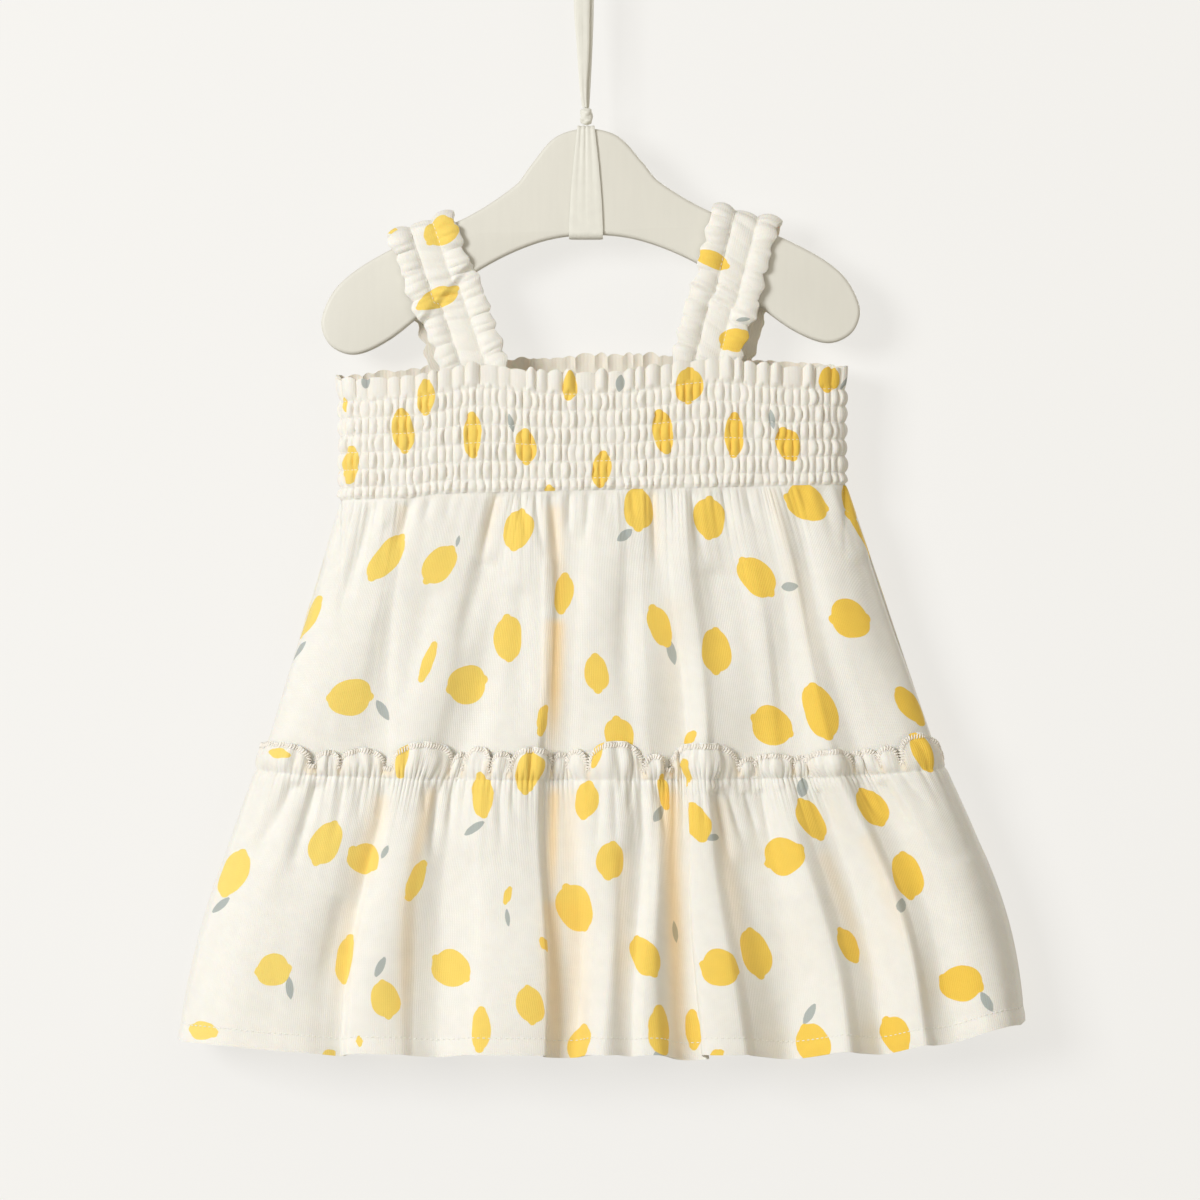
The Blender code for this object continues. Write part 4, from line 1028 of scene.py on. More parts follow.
LOWER_CREASES = named_rows(
    Crease,
    (296, 782, 256, 852, -1.5, 4.5), (318, 782, 292, 862, -1.5, 4.0),
    (300, 820, 262, 900, 0.7, 7.0), (345, 784, 336, 830, -0.6, 3.0),
    (362, 782, 357, 820, -0.7, 2.4), (386, 782, 378, 850, -1.2, 3.0),
    (437, 782, 432, 850, -1.6, 3.2), (424, 784, 424, 812, -0.7, 2.0),
    (452, 782, 449, 830, -1.0, 2.6), (466, 782, 462, 812, -0.5, 2.0),
    (498, 782, 502, 840, -0.7, 2.6), (512, 782, 513, 812, -0.5, 2.0),
    (600, 782, 598, 840, -0.7, 2.4), (614, 782, 616, 850, -0.8, 2.6),
    (628, 782, 628, 812, -0.6, 2.0), (640, 782, 645, 850, -0.8, 2.6),
    (656, 784, 664, 830, -0.8, 2.0), (700, 784, 706, 830, -0.7, 2.4),
    (713, 790, 730, 860, -1.5, 3.4), (724, 786, 742, 840, -0.9, 2.4),
    (744, 792, 756, 832, -0.7, 2.2), (760, 790, 772, 850, -0.9, 2.8),
    (780, 788, 792, 826, -0.6, 2.2), (820, 790, 836, 830, -0.8, 2.6),
    (856, 784, 876, 815, -0.6, 2.4), (884, 780, 912, 830, -0.8, 3.2),
    (905, 776, 930, 810, -0.5, 2.6), (740, 860, 776, 1015, -0.8, 8.0),
    (958, 860, 985, 960, 0.7, 10.0), (470, 860, 470, 1040, -0.6, 7.0),
    (622, 850, 620, 1040, -0.8, 5.0), (345, 900, 318, 1000, -0.8, 8.0),
)
# Painted shade and glow along the deep folds: each row is a line, its strength and half width.
PaintedGlow = namedtuple("PaintedGlow", "px1 py1 px2 py2 strength half_width")
UPPER_PAINTED_GLOWS = named_rows(
    PaintedGlow,
    (554, 505, 558, 620, 0.42, 4.5), (556, 620, 552, 740, 1.0, 5.0),
    (671, 600, 672, 740, 0.12, 7.0), (790, 557, 824, 680, 0.10, 5.0),
    (497, 495, 480, 560, 0.22, 3.5), (402, 505, 398, 540, 0.22, 3.0),
    (770, 490, 790, 557, 0.14, 3.0), (652, 492, 657, 560, 0.26, 3.0),
)
LOWER_PAINTED_GLOWS = named_rows(
    PaintedGlow,
    (554, 775, 551, 900, 0.80, 4.0), (570, 780, 566, 900, 0.28, 8.0),
    (552, 900, 556, 1062, 0.60, 6.0), (574, 900, 574, 1062, 0.30, 8.0),
    (668, 780, 680, 1068, 0.78, 5.5), (431, 785, 408, 890, 0.42, 4.0),
    (408, 890, 403, 1040, 0.34, 5.0), (383, 795, 352, 900, 0.30, 6.0),
    (352, 900, 338, 1010, 0.20, 6.0), (823, 853, 875, 987, 0.26, 5.0),
    (866, 834, 910, 949, 0.20, 5.0), (624, 850, 622, 1040, 0.22, 5.0),
    (718, 800, 745, 980, 0.24, 5.0),
)


def line_nearness(seen, line):
    """How near each seen point is to a line's middle, fading over its half width and its ends."""
    start = np.array([line.px1, line.py1], float)
    along = np.array([line.px2, line.py2], float) - start
    length = np.linalg.norm(along)
    along /= length
    offset = seen - start
    down = offset @ along
    aside = offset @ np.array([-along[1], along[0]])
    width = 0.8 * line.half_width / PIXEL_MM
    start_fade = ease((down + 0.06 * length) / (0.12 * length))
    end_fade = ease((1.25 * length - down) / (0.75 * length))
    return np.exp(-((aside / width) ** 2)) * (start_fade * end_fade)


def crease_height(seen, creases):
    """Total height of the creases at each seen point."""
    return CREASE_GAIN * sum(crease.depth * line_nearness(seen, crease) for crease in creases)


def painted_glow_share(seen, glows):
    """How strong the painted shade and painted glow are at each seen point."""
    glow = np.zeros(seen.shape[:2])
    for line in glows:
        glow = np.maximum(glow, line.strength * line_nearness(seen, line))
    return np.clip(glow, 0.0, 1.0)


def hidden_creases(shares, levels, top, seed):
    """Like creases for a side that the picture hides, fading down from a seam."""
    random = np.random.default_rng(seed)
    height = np.zeros((len(levels), len(shares)))
    down = np.asarray(levels) - top
    for _ in range(HIDDEN_CREASES):
        centre, width = random.uniform(0.03, 0.97), random.uniform(0.006, 0.014)
        reach, slant = random.uniform(0.12, 0.5), random.uniform(-0.03, 0.03)
        depth = random.uniform(0.5, 1.5)
        line = np.exp(-(((shares[None, :] - centre - slant * down[:, None]) / width) ** 2))
        height -= depth * line * np.exp(-((down[:, None] / reach) ** 2))
    return height


def small_gathers(shares, count, seed):
    """Uneven small waves across a seam, from -1 to 1."""
    random = np.random.default_rng(seed)
    slow, quick, swell, start = random.uniform(0, TURN, 4)
    drift = 0.9 * np.sin(TURN * 2.3 * shares + slow) + 0.6 * np.sin(TURN * 6.1 * shares + quick)
    size = 0.75 + 0.25 * np.sin(TURN * 4.7 * shares + swell)
    ends = np.clip(np.minimum(shares, 1.0 - shares) * 24.0, 0.0, 1.0)
    return np.sin(TURN * count * shares + drift + start) * size * ends


def wall_faces(skin, side):
    """The outer and inner faces of a wall of cloth round its middle surface."""
    normals = outward_normals(skin, side)
    return tuple(on_its_side(skin + normals * part * WALL / 2, side) for part in (1.0, -1.0))


def make_upper_tier(name, side, folds, columns, rows, seed):
    """The gathered panel between the bodice and the tier seam."""
    shares = np.linspace(0.0, 1.0, columns + 1)
    levels = np.linspace(0.0, 1.0, rows + 1)
    middle = np.array([skirt_row(folds, side, level, shares, upper=True) for level in levels])
    normals = outward_normals(middle, side)
    fade = np.exp(-levels / UPPER_GATHER_REACH) * np.clip(levels / 0.02, 0.25, 1.0)
    fine = UPPER_FINE_SHARE * small_gathers(shares, UPPER_FINE_GATHERS, seed + 1)
    waves = small_gathers(shares, UPPER_GATHERS, seed) + fine
    height = UPPER_GATHER * waves[None, :] * fade[:, None]
    if side == FRONT:
        seen = to_pixels(middle)
        height = height + crease_height(seen, UPPER_CREASES)
        # Painted shade and painted glow along the charted deep folds.
        painted_shade_glow = painted_glow_share(seen, UPPER_PAINTED_GLOWS)
    else:
        height = height + hidden_creases(shares, levels, 0.0, seed)
        painted_shade_glow = np.zeros(middle.shape[:2])
    height = np.minimum(height, UPPER_LIMIT) * np.clip(0.15 + levels[:, None] / 0.03, 0.0, 1.0)
    outer, inner = wall_faces(middle + normals * height[..., None], side)
    up = np.broadcast_to((1.0 - levels)[:, None] * UPPER_CUT_HEIGHT, middle.shape[:2])
    cloth = np.dstack([row_shares(middle) * UPPER_CUT_WIDTH, up])
    values = print_panel(side, outer, cloth, UPPER_LEMONS, UPPER_LEAVES, seed)
    values["painted_shade_glow"] = painted_shade_glow
    return cloth_wall(name, outer, inner, values, cloth)


upper_front = make_upper_tier("upper_tier_front", FRONT, FRONT_FOLDS, 560, 112, seed=21)
upper_back = make_upper_tier("upper_tier_back", BACK, BACK_FOLDS, 380, 90, seed=22)

# %% [markdown]
# The lower tier is cut wider and gathered on to the upper one, and its overlocked top edge is left
# standing over the seam as a frill. The frill is a row of lobes of uneven width. Each stands up,
# swells out to half its height and rolls back to its edge, and the cloth is pinched close between
# two lobes. The table gives each lobe's two ends and the height of its edge, as seen.

# %% Lower tier and its frill
Lobe = namedtuple("Lobe", "px1 px2 height")
FRONT_LOBES = named_rows(
    Lobe,
    (250, 309, 14.5), (318, 339, 12.0), (342, 384, 13.5), (396, 446, 18.0), (449, 462, 13.0),
    (465, 488, 15.5), (493, 508, 13.5), (511, 548, 15.5), (553, 568, 13.0), (571, 588, 14.5),
    (592, 644, 18.0), (648, 661, 12.0), (671, 735, 17.0), (739, 753, 10.0), (756, 790, 11.5),
    (794, 807, 10.0), (812, 850, 13.0), (853, 866, 11.5), (869, 882, 13.0), (885, 900, 13.5),
    (905, 940, 18.0),
)
BACK_LOBES = named_rows(
    Lobe,
    (250, 292, 12.0), (297, 350, 14.0), (356, 392, 12.0), (399, 447, 15.0), (452, 488, 12.5),
    (495, 545, 14.5), (549, 600, 13.0), (607, 640, 12.0), (647, 701, 15.0), (706, 742, 12.0),
    (750, 800, 14.0), (804, 842, 12.5), (849, 897, 14.5), (901, 940, 13.0),
)
HEM_FALL, HEM_STITCH_ABOVE = 126.0, 7.0
HEM_SWELL, HEM_GROOVE, HEM_GROOVE_WIDTH = 0.35, 0.25, 1.2
FRILL_ROWS = 18
FRILL_LOW = 5.0
FRILL_LEAN = 0.3
FRILL_BULGE, FRILL_SWOLLEN_AT, FRILL_ROLL_BACK = 2.1, 0.5, 0.8
FRILL_SPREAD = 2.0
LOBE_SQUARENESS, LOBE_RIPPLE, RIPPLED_WIDTH = 2.2, 0.34, 22.0
FRILL_CUT = 14.0
# Painted shade and glow in the pinches between the frill's lobes.
FRILL_PAINTED_SHADE = 0.35
TIER_LAP = 1.8
SEAM_GROOVE, SEAM_GROOVE_REACH = 0.55, 1.8
LAP_REACH = 0.3
NEAR_SEAM = 0.02
BROAD_GATHERS, BROAD_GATHER = 61, 0.42
FINE_GATHERS, FINE_GATHER = 148, 0.5
CREASE_LIMITS = (-3.2, 1.2)


def frill_swell(share):
    """How far the frill has swelled at a share of its height: slowly out, then rolled back."""
    out = math.sin(math.pi / 2 * min(1.0, share / FRILL_SWOLLEN_AT))
    back = float(ease((share - FRILL_SWOLLEN_AT) / (1.0 - FRILL_SWOLLEN_AT)))
    return out - FRILL_ROLL_BACK * back


def frill_shape(x, lobes):
    """At each x: the frill's height, how far it bulges out, and how far its edge spreads aside."""
    height = np.full(x.shape, FRILL_LOW)
    bulge = np.zeros(x.shape)
    spread = np.zeros(x.shape)
    for lobe in lobes:
        left = (lobe.px1 - RIBBON_PIXEL_X) * PIXEL_MM
        right = (lobe.px2 - RIBBON_PIXEL_X) * PIXEL_MM
        t = (x - (left + right) / 2) / ((right - left) / 2)
        within = np.abs(t) < 1.0
        profile = 1.0 - np.abs(np.clip(t, -1, 1)) ** LOBE_SQUARENESS
        height += (lobe.height - FRILL_LOW) * profile**0.5
        ripple = LOBE_RIPPLE * np.cos(t * 3.4 * math.pi) * min(1.0, (right - left) / RIPPLED_WIDTH)
        bulge += profile * (1.0 - ripple)
        spread += np.where(within, np.sin(t * math.pi / 2) * np.abs(t) * profile**0.3, 0.0)
    return height, bulge, spread


def make_lower_tier(name, side, folds, lobes, columns, rows, seed):
    """The lower panel: the frill above the seam, then the full fall to the hem."""
    shares = np.linspace(0.0, 1.0, columns + 1)
    up = np.linspace(1.0, 0.0, FRILL_ROWS + 1)[:-1]
    seam_row = skirt_row(folds, side, 1.0, shares)
    height, bulge, spread = frill_shape(seam_row[:, 0], lobes)
    ends = np.clip(np.minimum(shares, 1.0 - shares) * 60.0, 0.0, 1.0)
    levels_below = 1.0 + np.linspace(0.0, 1.0, rows + 1) ** 1.25
    below = np.array([skirt_row(folds, side, level, shares) for level in levels_below])
    near_levels = (1.0 - NEAR_SEAM, 1.0, 1.0 + NEAR_SEAM)
    near_seam = [skirt_row(folds, side, level, shares) for level in near_levels]
    seam_normals = outward_normals(np.array(near_seam), side)[1]
    rise = skirt_row(folds, side, 0.9, shares) - seam_row
    rise /= np.linalg.norm(rise, axis=1, keepdims=True)
    frill = []
    for share in up:
        stand = share * height
        lean = FRILL_LEAN * share + FRILL_BULGE * bulge * frill_swell(share)
        point = seam_row + rise * stand[:, None] + seam_normals * lean[:, None]
        point[:, 0] += FRILL_SPREAD * spread * share**1.5 * ends
        frill.append(point)
    middle = np.vstack([np.array(frill), below])
    upright = seam_row[None] + rise[None] * (up[:, None, None] * 8.0)
    normals = outward_normals(np.vstack([upright, below]), side)
    fall = levels_below - 1.0
    down = np.concatenate([np.zeros(FRILL_ROWS), fall])
    lap = TIER_LAP * np.clip(1.0 - down / LAP_REACH, 0.0, 1.0)
    broad = small_gathers(shares, BROAD_GATHERS, seed)
    fine = small_gathers(shares, FINE_GATHERS, seed + 1)
    broad_fade = np.concatenate([0.7 + 1.7 * up, np.exp(-fall / 0.13)])
    fine_fade = np.concatenate([1.0 - ease(up * 1.5), np.exp(-fall / 0.05)])
    relief = BROAD_GATHER * broad[None, :] * broad_fade[:, None]
    relief = relief + FINE_GATHER * fine[None, :] * fine_fade[:, None]
    from_seam = np.concatenate([up * FRILL_LOW * 2.4, fall * HEM_FALL])
    relief -= SEAM_GROOVE * np.exp(-((from_seam / SEAM_GROOVE_REACH) ** 2))[:, None]
    if side == FRONT:
        seen = to_pixels(middle)
        creases = crease_height(seen, LOWER_CREASES)
        creases[:FRILL_ROWS] = 0.0
        # Painted shade and glow along the deep folds and in the pinches between the lobes.
        painted_shade_glow = painted_glow_share(seen, LOWER_PAINTED_GLOWS)
        painted_shade_glow[FRILL_ROWS:] *= ease(fall / 0.07)[:, None]
        pinched = np.clip(1.0 - 1.6 * bulge, 0.0, 1.0) * ends
        painted_shade_glow[:FRILL_ROWS] = FRILL_PAINTED_SHADE * pinched[None, :] * np.sin(math.pi * up)[:, None]
    else:
        creases, painted_shade_glow = np.zeros(middle.shape[:2]), np.zeros(middle.shape[:2])
        creases[FRILL_ROWS:] = hidden_creases(shares, levels_below, 1.0, seed)
    softened = np.clip(down / 0.05, 0.0, 1.0)
    relief += np.clip(creases, *CREASE_LIMITS) * softened[:, None]
    above_hem = np.concatenate([np.full(FRILL_ROWS, 99.0), (2.0 - levels_below) * HEM_FALL])
    relief += (HEM_SWELL * ease((HEM_STITCH_ABOVE - above_hem) / 2.5))[:, None]
    from_stitch = (above_hem - HEM_STITCH_ABOVE) / HEM_GROOVE_WIDTH
    relief -= HEM_GROOVE * np.exp(-(from_stitch**2))[:, None]
    outer, inner = wall_faces(middle + normals * (relief + lap[:, None])[..., None], side)
    seam_v = LOWER_CUT_HEIGHT - FRILL_CUT
    v = np.concatenate([seam_v + up * FRILL_CUT, seam_v * (2.0 - levels_below)])
    along = row_shares(below)
    along = np.vstack([np.repeat(along[:1], FRILL_ROWS, axis=0), along])
    cloth = np.dstack([along * LOWER_CUT_WIDTH, np.broadcast_to(v[:, None], along.shape)])
    values = print_panel(side, outer, cloth, LOWER_LEMONS, LOWER_LEAVES, seed)
    values["painted_shade_glow"] = painted_shade_glow
    return cloth_wall(name, outer, inner, values, cloth), outer, outward_normals(outer, side)


lower_front, *lower_front_skin = make_lower_tier(
    "lower_tier_front", FRONT, FRONT_FOLDS, FRONT_LOBES, 840, 80, seed=31
)
lower_back, *lower_back_skin = make_lower_tier(
    "lower_tier_back", BACK, BACK_FOLDS, BACK_LOBES, 460, 80, seed=32
)

# %% [markdown]
# A strap is a tube of jersey with two lines of elastic down it. They leave a flat channel in the
# middle, crossed by fine creases, and a puffed ruffle along each edge, broken into lobes. The strap
# is swept along its path over the board, and its section is computed at each station.

# %% Straps
StrapTurn = namedtuple("StrapTurn", "down out")
STRAP_PATH = named_rows(
    StrapTurn,
    (80.0, -11.2), (66.0, -9.6), (48.0, -7.4), (30.0, -5.8), (10.0, -5.3), (3.4, -5.0), (0.0, 0.0),
    (3.4, 5.0), (10.0, 5.4), (34.0, 5.4), (58.0, 6.4), (74.0, 7.4),
)
Strap = namedtuple(
    "Strap", "name top_x top_z lean_degrees back_shift fold_down fold_slant aside seed"
)
STRAPS = (
    Strap("shirred_strap_left", -75.6, -130.2, -18.8, -1.5, 36.0, -9.0, 2.2, 41),
    Strap("shirred_strap_right", 73.8, -125.8, 14.3, 4.0, 44.0, 5.0, -1.4, 42),
)
FOLD_STEP = 2.2
STRAP_WIDTH = 31.0
STRAP_STITCH_AT = 0.36
STRAP_STATIONS, STRAP_FINE_STATIONS = 300, 1200
STRAP_COLUMNS = 60
RUFFLE_HEIGHT = 2.9
CHANNEL_HEIGHT = 1.9
STRAP_CUT_STRETCH = 1.35
LOBE_LENGTH, PUCKER_LENGTH, PUCKER_HEIGHT = 11.0, 4.3, 0.42
TUCK_REACH, FOLD_REACH = 14.0, 1.6
STRAP_STEP = (4, 6)
BACK_LEMON_AT, BACK_LEMON, BACK_LEMON_TILT = 0.78, (22.0, 17.0), 35.0
# Painted shade and glow where the strap's channel lies low.
CHANNEL_PAINTED_SHADE = 0.14


def lobe_wave(travel, random, mean_length):
    """Uneven lobes along a ruffle: an arch for each, from 0 to 1, and which lobe it is."""
    cuts = [travel[0] - random.uniform(0.0, mean_length)]
    while cuts[-1] < travel[-1] + mean_length:
        cuts.append(cuts[-1] + mean_length * random.uniform(0.72, 1.3))
    cuts = np.array(cuts)
    number = np.clip(np.searchsorted(cuts, travel) - 1, 0, len(cuts) - 2)
    t = (travel - cuts[number]) / (cuts[number + 1] - cuts[number])
    return np.sin(math.pi * np.clip(t, 0, 1)) ** 0.38, number


def make_strap(strap):
    """A shirred strap over the board."""
    random = np.random.default_rng(strap.seed)
    path = np.array(STRAP_PATH)
    fine = through(path, chord_shares(path), np.linspace(0.0, 1.0, STRAP_FINE_STATIONS))
    line = evenly(fine, STRAP_STATIONS)
    tangent = np.gradient(line, axis=0)
    tangent /= np.linalg.norm(tangent, axis=1, keepdims=True)
    lean = math.radians(strap.lean_degrees)
    leg = np.array([-math.sin(lean), 0.0, -math.cos(lean)])
    across = np.array([math.cos(lean), 0.0, -math.sin(lean)])
    y_axis = np.array([0.0, 1.0, 0.0])
    travel = chord_shares(line) * line_length(line)
    over = int(np.argmin(line[:, 0]))
    shift = strap.back_shift * np.clip((np.arange(len(line)) - over) / 70.0, 0.0, 1.0)
    w = np.linspace(-1.0, 1.0, STRAP_COLUMNS + 1)
    tucked = ease(np.minimum(travel, travel[-1] - travel) / TUCK_REACH)
    relief = np.zeros((len(line), len(w)))
    swing = np.zeros_like(relief)
    for side in (-1.0, 1.0):
        lobes, number = lobe_wave(travel, random, LOBE_LENGTH)
        tall = random.uniform(0.8, 1.2, number.max() + 1)[number]
        on_side = (w * side > STRAP_STITCH_AT)[None, :]
        t = np.clip((np.abs(w) - STRAP_STITCH_AT) / (1.0 - STRAP_STITCH_AT), 0.0, 1.0)[None, :]
        arch = np.sin(math.pi * np.clip(t * 0.9 + 0.03, 0, 1)) ** 0.6
        small, _ = lobe_wave(travel, random, PUCKER_LENGTH)
        slope = 1.4 * np.sin(travel / 5.0 + random.uniform(0.0, 6.0))
        places = travel[:, None] + slope[:, None] * t
        bent = np.interp(places.ravel(), travel, small).reshape(places.shape)
        rough = PUCKER_HEIGHT * (bent - 0.75) * (0.35 + 0.65 * (1.0 - t) ** 0.5)
        relief += on_side * RUFFLE_HEIGHT * arch * ((0.3 + 0.7 * lobes * tall)[:, None] + rough)
        uneven = 0.5 * np.sin(travel / 1.3 + side) + 0.6 * (tall - 1.0) / 0.2
        swing += on_side * side * t * (2.6 * (lobes - 0.7) + uneven)[:, None]
    across_phase = (travel / 2.9 + 1.1 * np.sin(travel / 7.0))[:, None] + 1.3 * w[None, :]
    creases = sum(
        0.5 * np.abs(np.sin(phase)) ** 0.8 for phase in (across_phase, 1.73 * across_phase + 1.0)
    )
    middle_arch = np.clip(1.0 - (np.abs(w) / STRAP_STITCH_AT) ** 2, 0.0, 1.0)[None, :] ** 0.5
    relief += CHANNEL_HEIGHT * middle_arch * (0.2 + 0.8 * creases)
    relief *= 0.3 + 0.7 * tucked[:, None]
    below_top = (travel[over] - travel)[:, None]
    past_fold = below_top - strap.fold_down - strap.fold_slant * w[None, :]
    folded_under = ease(past_fold / FOLD_REACH) * ease(travel / 12.0)[:, None]
    facing = -tangent[:, 1:2] * leg[None, :] + tangent[:, 0:1] * y_axis[None, :]
    centre = (
        np.array([strap.top_x, 0.0, strap.top_z])
        + line[:, 0:1] * leg
        + shift[:, None] * across
        + line[:, 1:2] * y_axis
    )
    reach = w[None, :] * STRAP_WIDTH / 2 + swing * tucked[:, None]
    reach = reach + strap.aside * (folded_under - 0.5)
    base = centre[:, None, :] + across[None, None, :] * reach[..., None]
    base = base - facing[:, None, :] * (FOLD_STEP * folded_under)[..., None]
    outer = base + facing[:, None, :] * (WALL / 2 + relief)[..., None]
    edge = np.abs(w)[None, :, None] ** 8
    inner = base - facing[:, None, :] * WALL / 2 + facing[:, None, :] * 0.5 * edge
    cloth = np.dstack(np.meshgrid(w * STRAP_WIDTH / 2, travel * STRAP_CUT_STRETCH))
    here = [
        [motif for motif in chart if (motif.px > RIBBON_PIXEL_X) == (strap.top_x > 0)]
        for chart in (STRAP_LEMONS, STRAP_LEAVES)
    ]
    values = print_as_seen(outer, cloth, *here)
    back_place = (0.0, travel[-1] * STRAP_CUT_STRETCH * BACK_LEMON_AT)
    shape = lambda x, y: lemon_inside(x, y, *BACK_LEMON, 1.0)
    stamp(values, "lemon_mm", cloth, back_place, BACK_LEMON_TILT, 1.0, shape)
    # Painted shade and painted glow where the channel lies low between its creases.
    values["painted_shade_glow"] = CHANNEL_PAINTED_SHADE * np.clip(1.0 - relief / 0.7, 0.0, 1.0)
    piece = cloth_wall(strap.name, outer, inner, values, cloth, STRAP_STEP)
    stitch_columns = [int(np.argmin(np.abs(w - at))) for at in (-STRAP_STITCH_AT, STRAP_STITCH_AT)]
    lines = [(outer[8:-8, column], facing[8:-8]) for column in stitch_columns]
    return piece, lines, line_length(line)


strap_pieces = []
strap_lines = []
for strap in STRAPS:
    piece, lines, strap_length = make_strap(strap)
    strap_pieces.append(piece)
    strap_lines += lines
print("strap path length:", round(strap_length), "mm")

# %% [markdown]
# Stitches repeat along lines, so Geometry Nodes lay them. The tree turns each line into a curve,
# resamples it at the stitch pitch, and puts a short rounded thread on each point, turned along
# the line and seated on the cloth's face. Its inputs are named sizes, and it ends in realized
# geometry, which is then made a plain mesh.

# %% Stitch tree
STITCH_SIZES = {
    "Pitch": 0.0026, "Length": 0.0018, "Radius": 0.0002, "Slant": 0.0, "Lift": 0.0001,
    "Unevenness": 0.15,
}


def stitch_tree():
    """Geometry nodes that lay stitches along the edges of a mesh."""
    tree = bpy.data.node_groups.new("stitches_along_lines", "GeometryNodeTree")
    new_socket = tree.interface.new_socket
    new_socket("Geometry", in_out="INPUT", socket_type="NodeSocketGeometry")
    for title, value in STITCH_SIZES.items():
        new_socket(title, in_out="INPUT", socket_type="NodeSocketFloat").default_value = value
    new_socket("Seed", in_out="INPUT", socket_type="NodeSocketInt").default_value = 3
    new_socket("Material", in_out="INPUT", socket_type="NodeSocketMaterial")
    new_socket("Geometry", in_out="OUTPUT", socket_type="NodeSocketGeometry")
    given = tree.nodes.new("NodeGroupInput").outputs
    result = tree.nodes.new("NodeGroupOutput")

    def resized(vector, factor):
        """A vector times a number."""
        node = tree.nodes.new("ShaderNodeVectorMath")
        node.operation = "SCALE"
        tree.links.new(vector, node.inputs[0])
        return feed(tree, node, {"Scale": factor}).outputs["Vector"]

    facing = add_node(tree, "GeometryNodeInputNamedAttribute", Name="facing")
    facing.data_type = "FLOAT_VECTOR"
    outwards = facing.outputs["Attribute"]
    curve = add_node(tree, "GeometryNodeMeshToCurve", Mesh=given["Geometry"]).outputs["Curve"]
    spaced = tree.nodes.new("GeometryNodeResampleCurve")
    spaced.mode = "LENGTH"
    feed(tree, spaced, {"Curve": curve, "Length": given["Pitch"]})
    lift = resized(outwards, given["Lift"])
    raised = add_node(
        tree, "GeometryNodeSetPosition", Geometry=spaced.outputs["Curve"], Offset=lift
    )

    along = tree.nodes.new("FunctionNodeAlignRotationToVector")
    along.axis = "X"
    feed(tree, along, {"Vector": tree.nodes.new("GeometryNodeInputTangent").outputs["Tangent"]})
    seated = tree.nodes.new("FunctionNodeAlignRotationToVector")
    seated.axis, seated.pivot_axis = "Z", "X"
    feed(tree, seated, {"Rotation": along.outputs["Rotation"], "Vector": outwards})
    slant = add_node(tree, "ShaderNodeCombineXYZ", Z=given["Slant"]).outputs["Vector"]
    slant = add_node(tree, "FunctionNodeEulerToRotation", Euler=slant).outputs["Rotation"]
    turned = tree.nodes.new("FunctionNodeRotateRotation")
    turned.rotation_space = "LOCAL"
    feed(tree, turned, {"Rotation": seated.outputs["Rotation"], "Rotate By": slant})

    thread = add_node(tree, "GeometryNodeMeshUVSphere", Segments=6, Rings=4, Radius=1.0)
    half_length = math_node(tree, "MULTIPLY", given["Length"], 0.5)
    radius = given["Radius"]
    size = add_node(tree, "ShaderNodeCombineXYZ", X=half_length, Y=radius, Z=radius)
    uneven = tree.nodes.new("FunctionNodeRandomValue")
    uneven.data_type = "FLOAT"
    tree.links.new(math_node(tree, "SUBTRACT", 1.0, given["Unevenness"]), uneven.inputs[2])
    uneven.inputs[3].default_value = 1.0
    feed(tree, uneven, {"Seed": given["Seed"]})
    stitches = add_node(
        tree, "GeometryNodeInstanceOnPoints", Points=raised.outputs["Geometry"],
        Instance=thread.outputs["Mesh"], Rotation=turned.outputs["Rotation"],
        Scale=resized(size.outputs["Vector"], uneven.outputs[1]),
    )
    plain = add_node(tree, "GeometryNodeRealizeInstances", Geometry=stitches.outputs["Instances"])
    smooth = add_node(tree, "GeometryNodeSetShadeSmooth", Geometry=plain.outputs["Geometry"])
    finish = add_node(
        tree, "GeometryNodeSetMaterial", Geometry=smooth.outputs["Geometry"],
        Material=given["Material"],
    )
    feed(tree, result, {"Geometry": finish.outputs["Geometry"]})
    return tree


STITCHES = stitch_tree()


def sew(name, lines, material, **sizes):
    """Lay stitches along lines of points with their facing directions, as a plain mesh."""
    points, facings, edges = [], [], []
    for line, facing in lines:
        first = len(points)
        points += (np.asarray(line) * MM).tolist()
        facings += np.asarray(facing).tolist()
        edges += [(first + i, first + i + 1) for i in range(len(line) - 1)]
    mesh = bpy.data.meshes.new(name)
    mesh.from_pydata(points, edges, [])
    layer = mesh.attributes.new("facing", "FLOAT_VECTOR", "POINT")
    layer.data.foreach_set("vector", np.array(facings, np.float32).ravel())
    guide = add_object(name, mesh)
    modifier = guide.modifiers.new("stitches", "NODES")
    modifier.node_group = STITCHES
    sockets = {s.name: s.identifier for s in STITCHES.interface.items_tree if s.in_out == "INPUT"}
    for title, value in sizes.items():
        modifier[sockets[title.capitalize()]] = value
    modifier[sockets["Material"]] = material
    graph = bpy.context.evaluated_depsgraph_get()
    made = bpy.data.meshes.new_from_object(guide.evaluated_get(graph))
    bpy.data.objects.remove(guide)
    print(f"{name}: {len(made.polygons)} faces")
    return add_object(name, made)


# %% [markdown]
# Three kinds of stitching show. Elastic thread runs along each row of the smocking and down the
# straps, and shows as short dashes in the pinches. The hem is turned up and held by one row of
# small stitches. The frill's raw edge is overlocked with close slanting stitches.

# %% Sewing
def smocking_lines(skin, normals):
    """Lines along the smocking's rows, on the cloth's surface."""
    rows = skin.shape[0] - 1
    lines = []
    for row in range(STITCH_ROWS):
        share = HEADER_SHARE + (1.0 - HEADER_SHARE) * row / ROW_SPACES
        number = int(round(share * rows))
        lines.append((skin[number, 3:-3], normals[number, 3:-3]))
    return lines


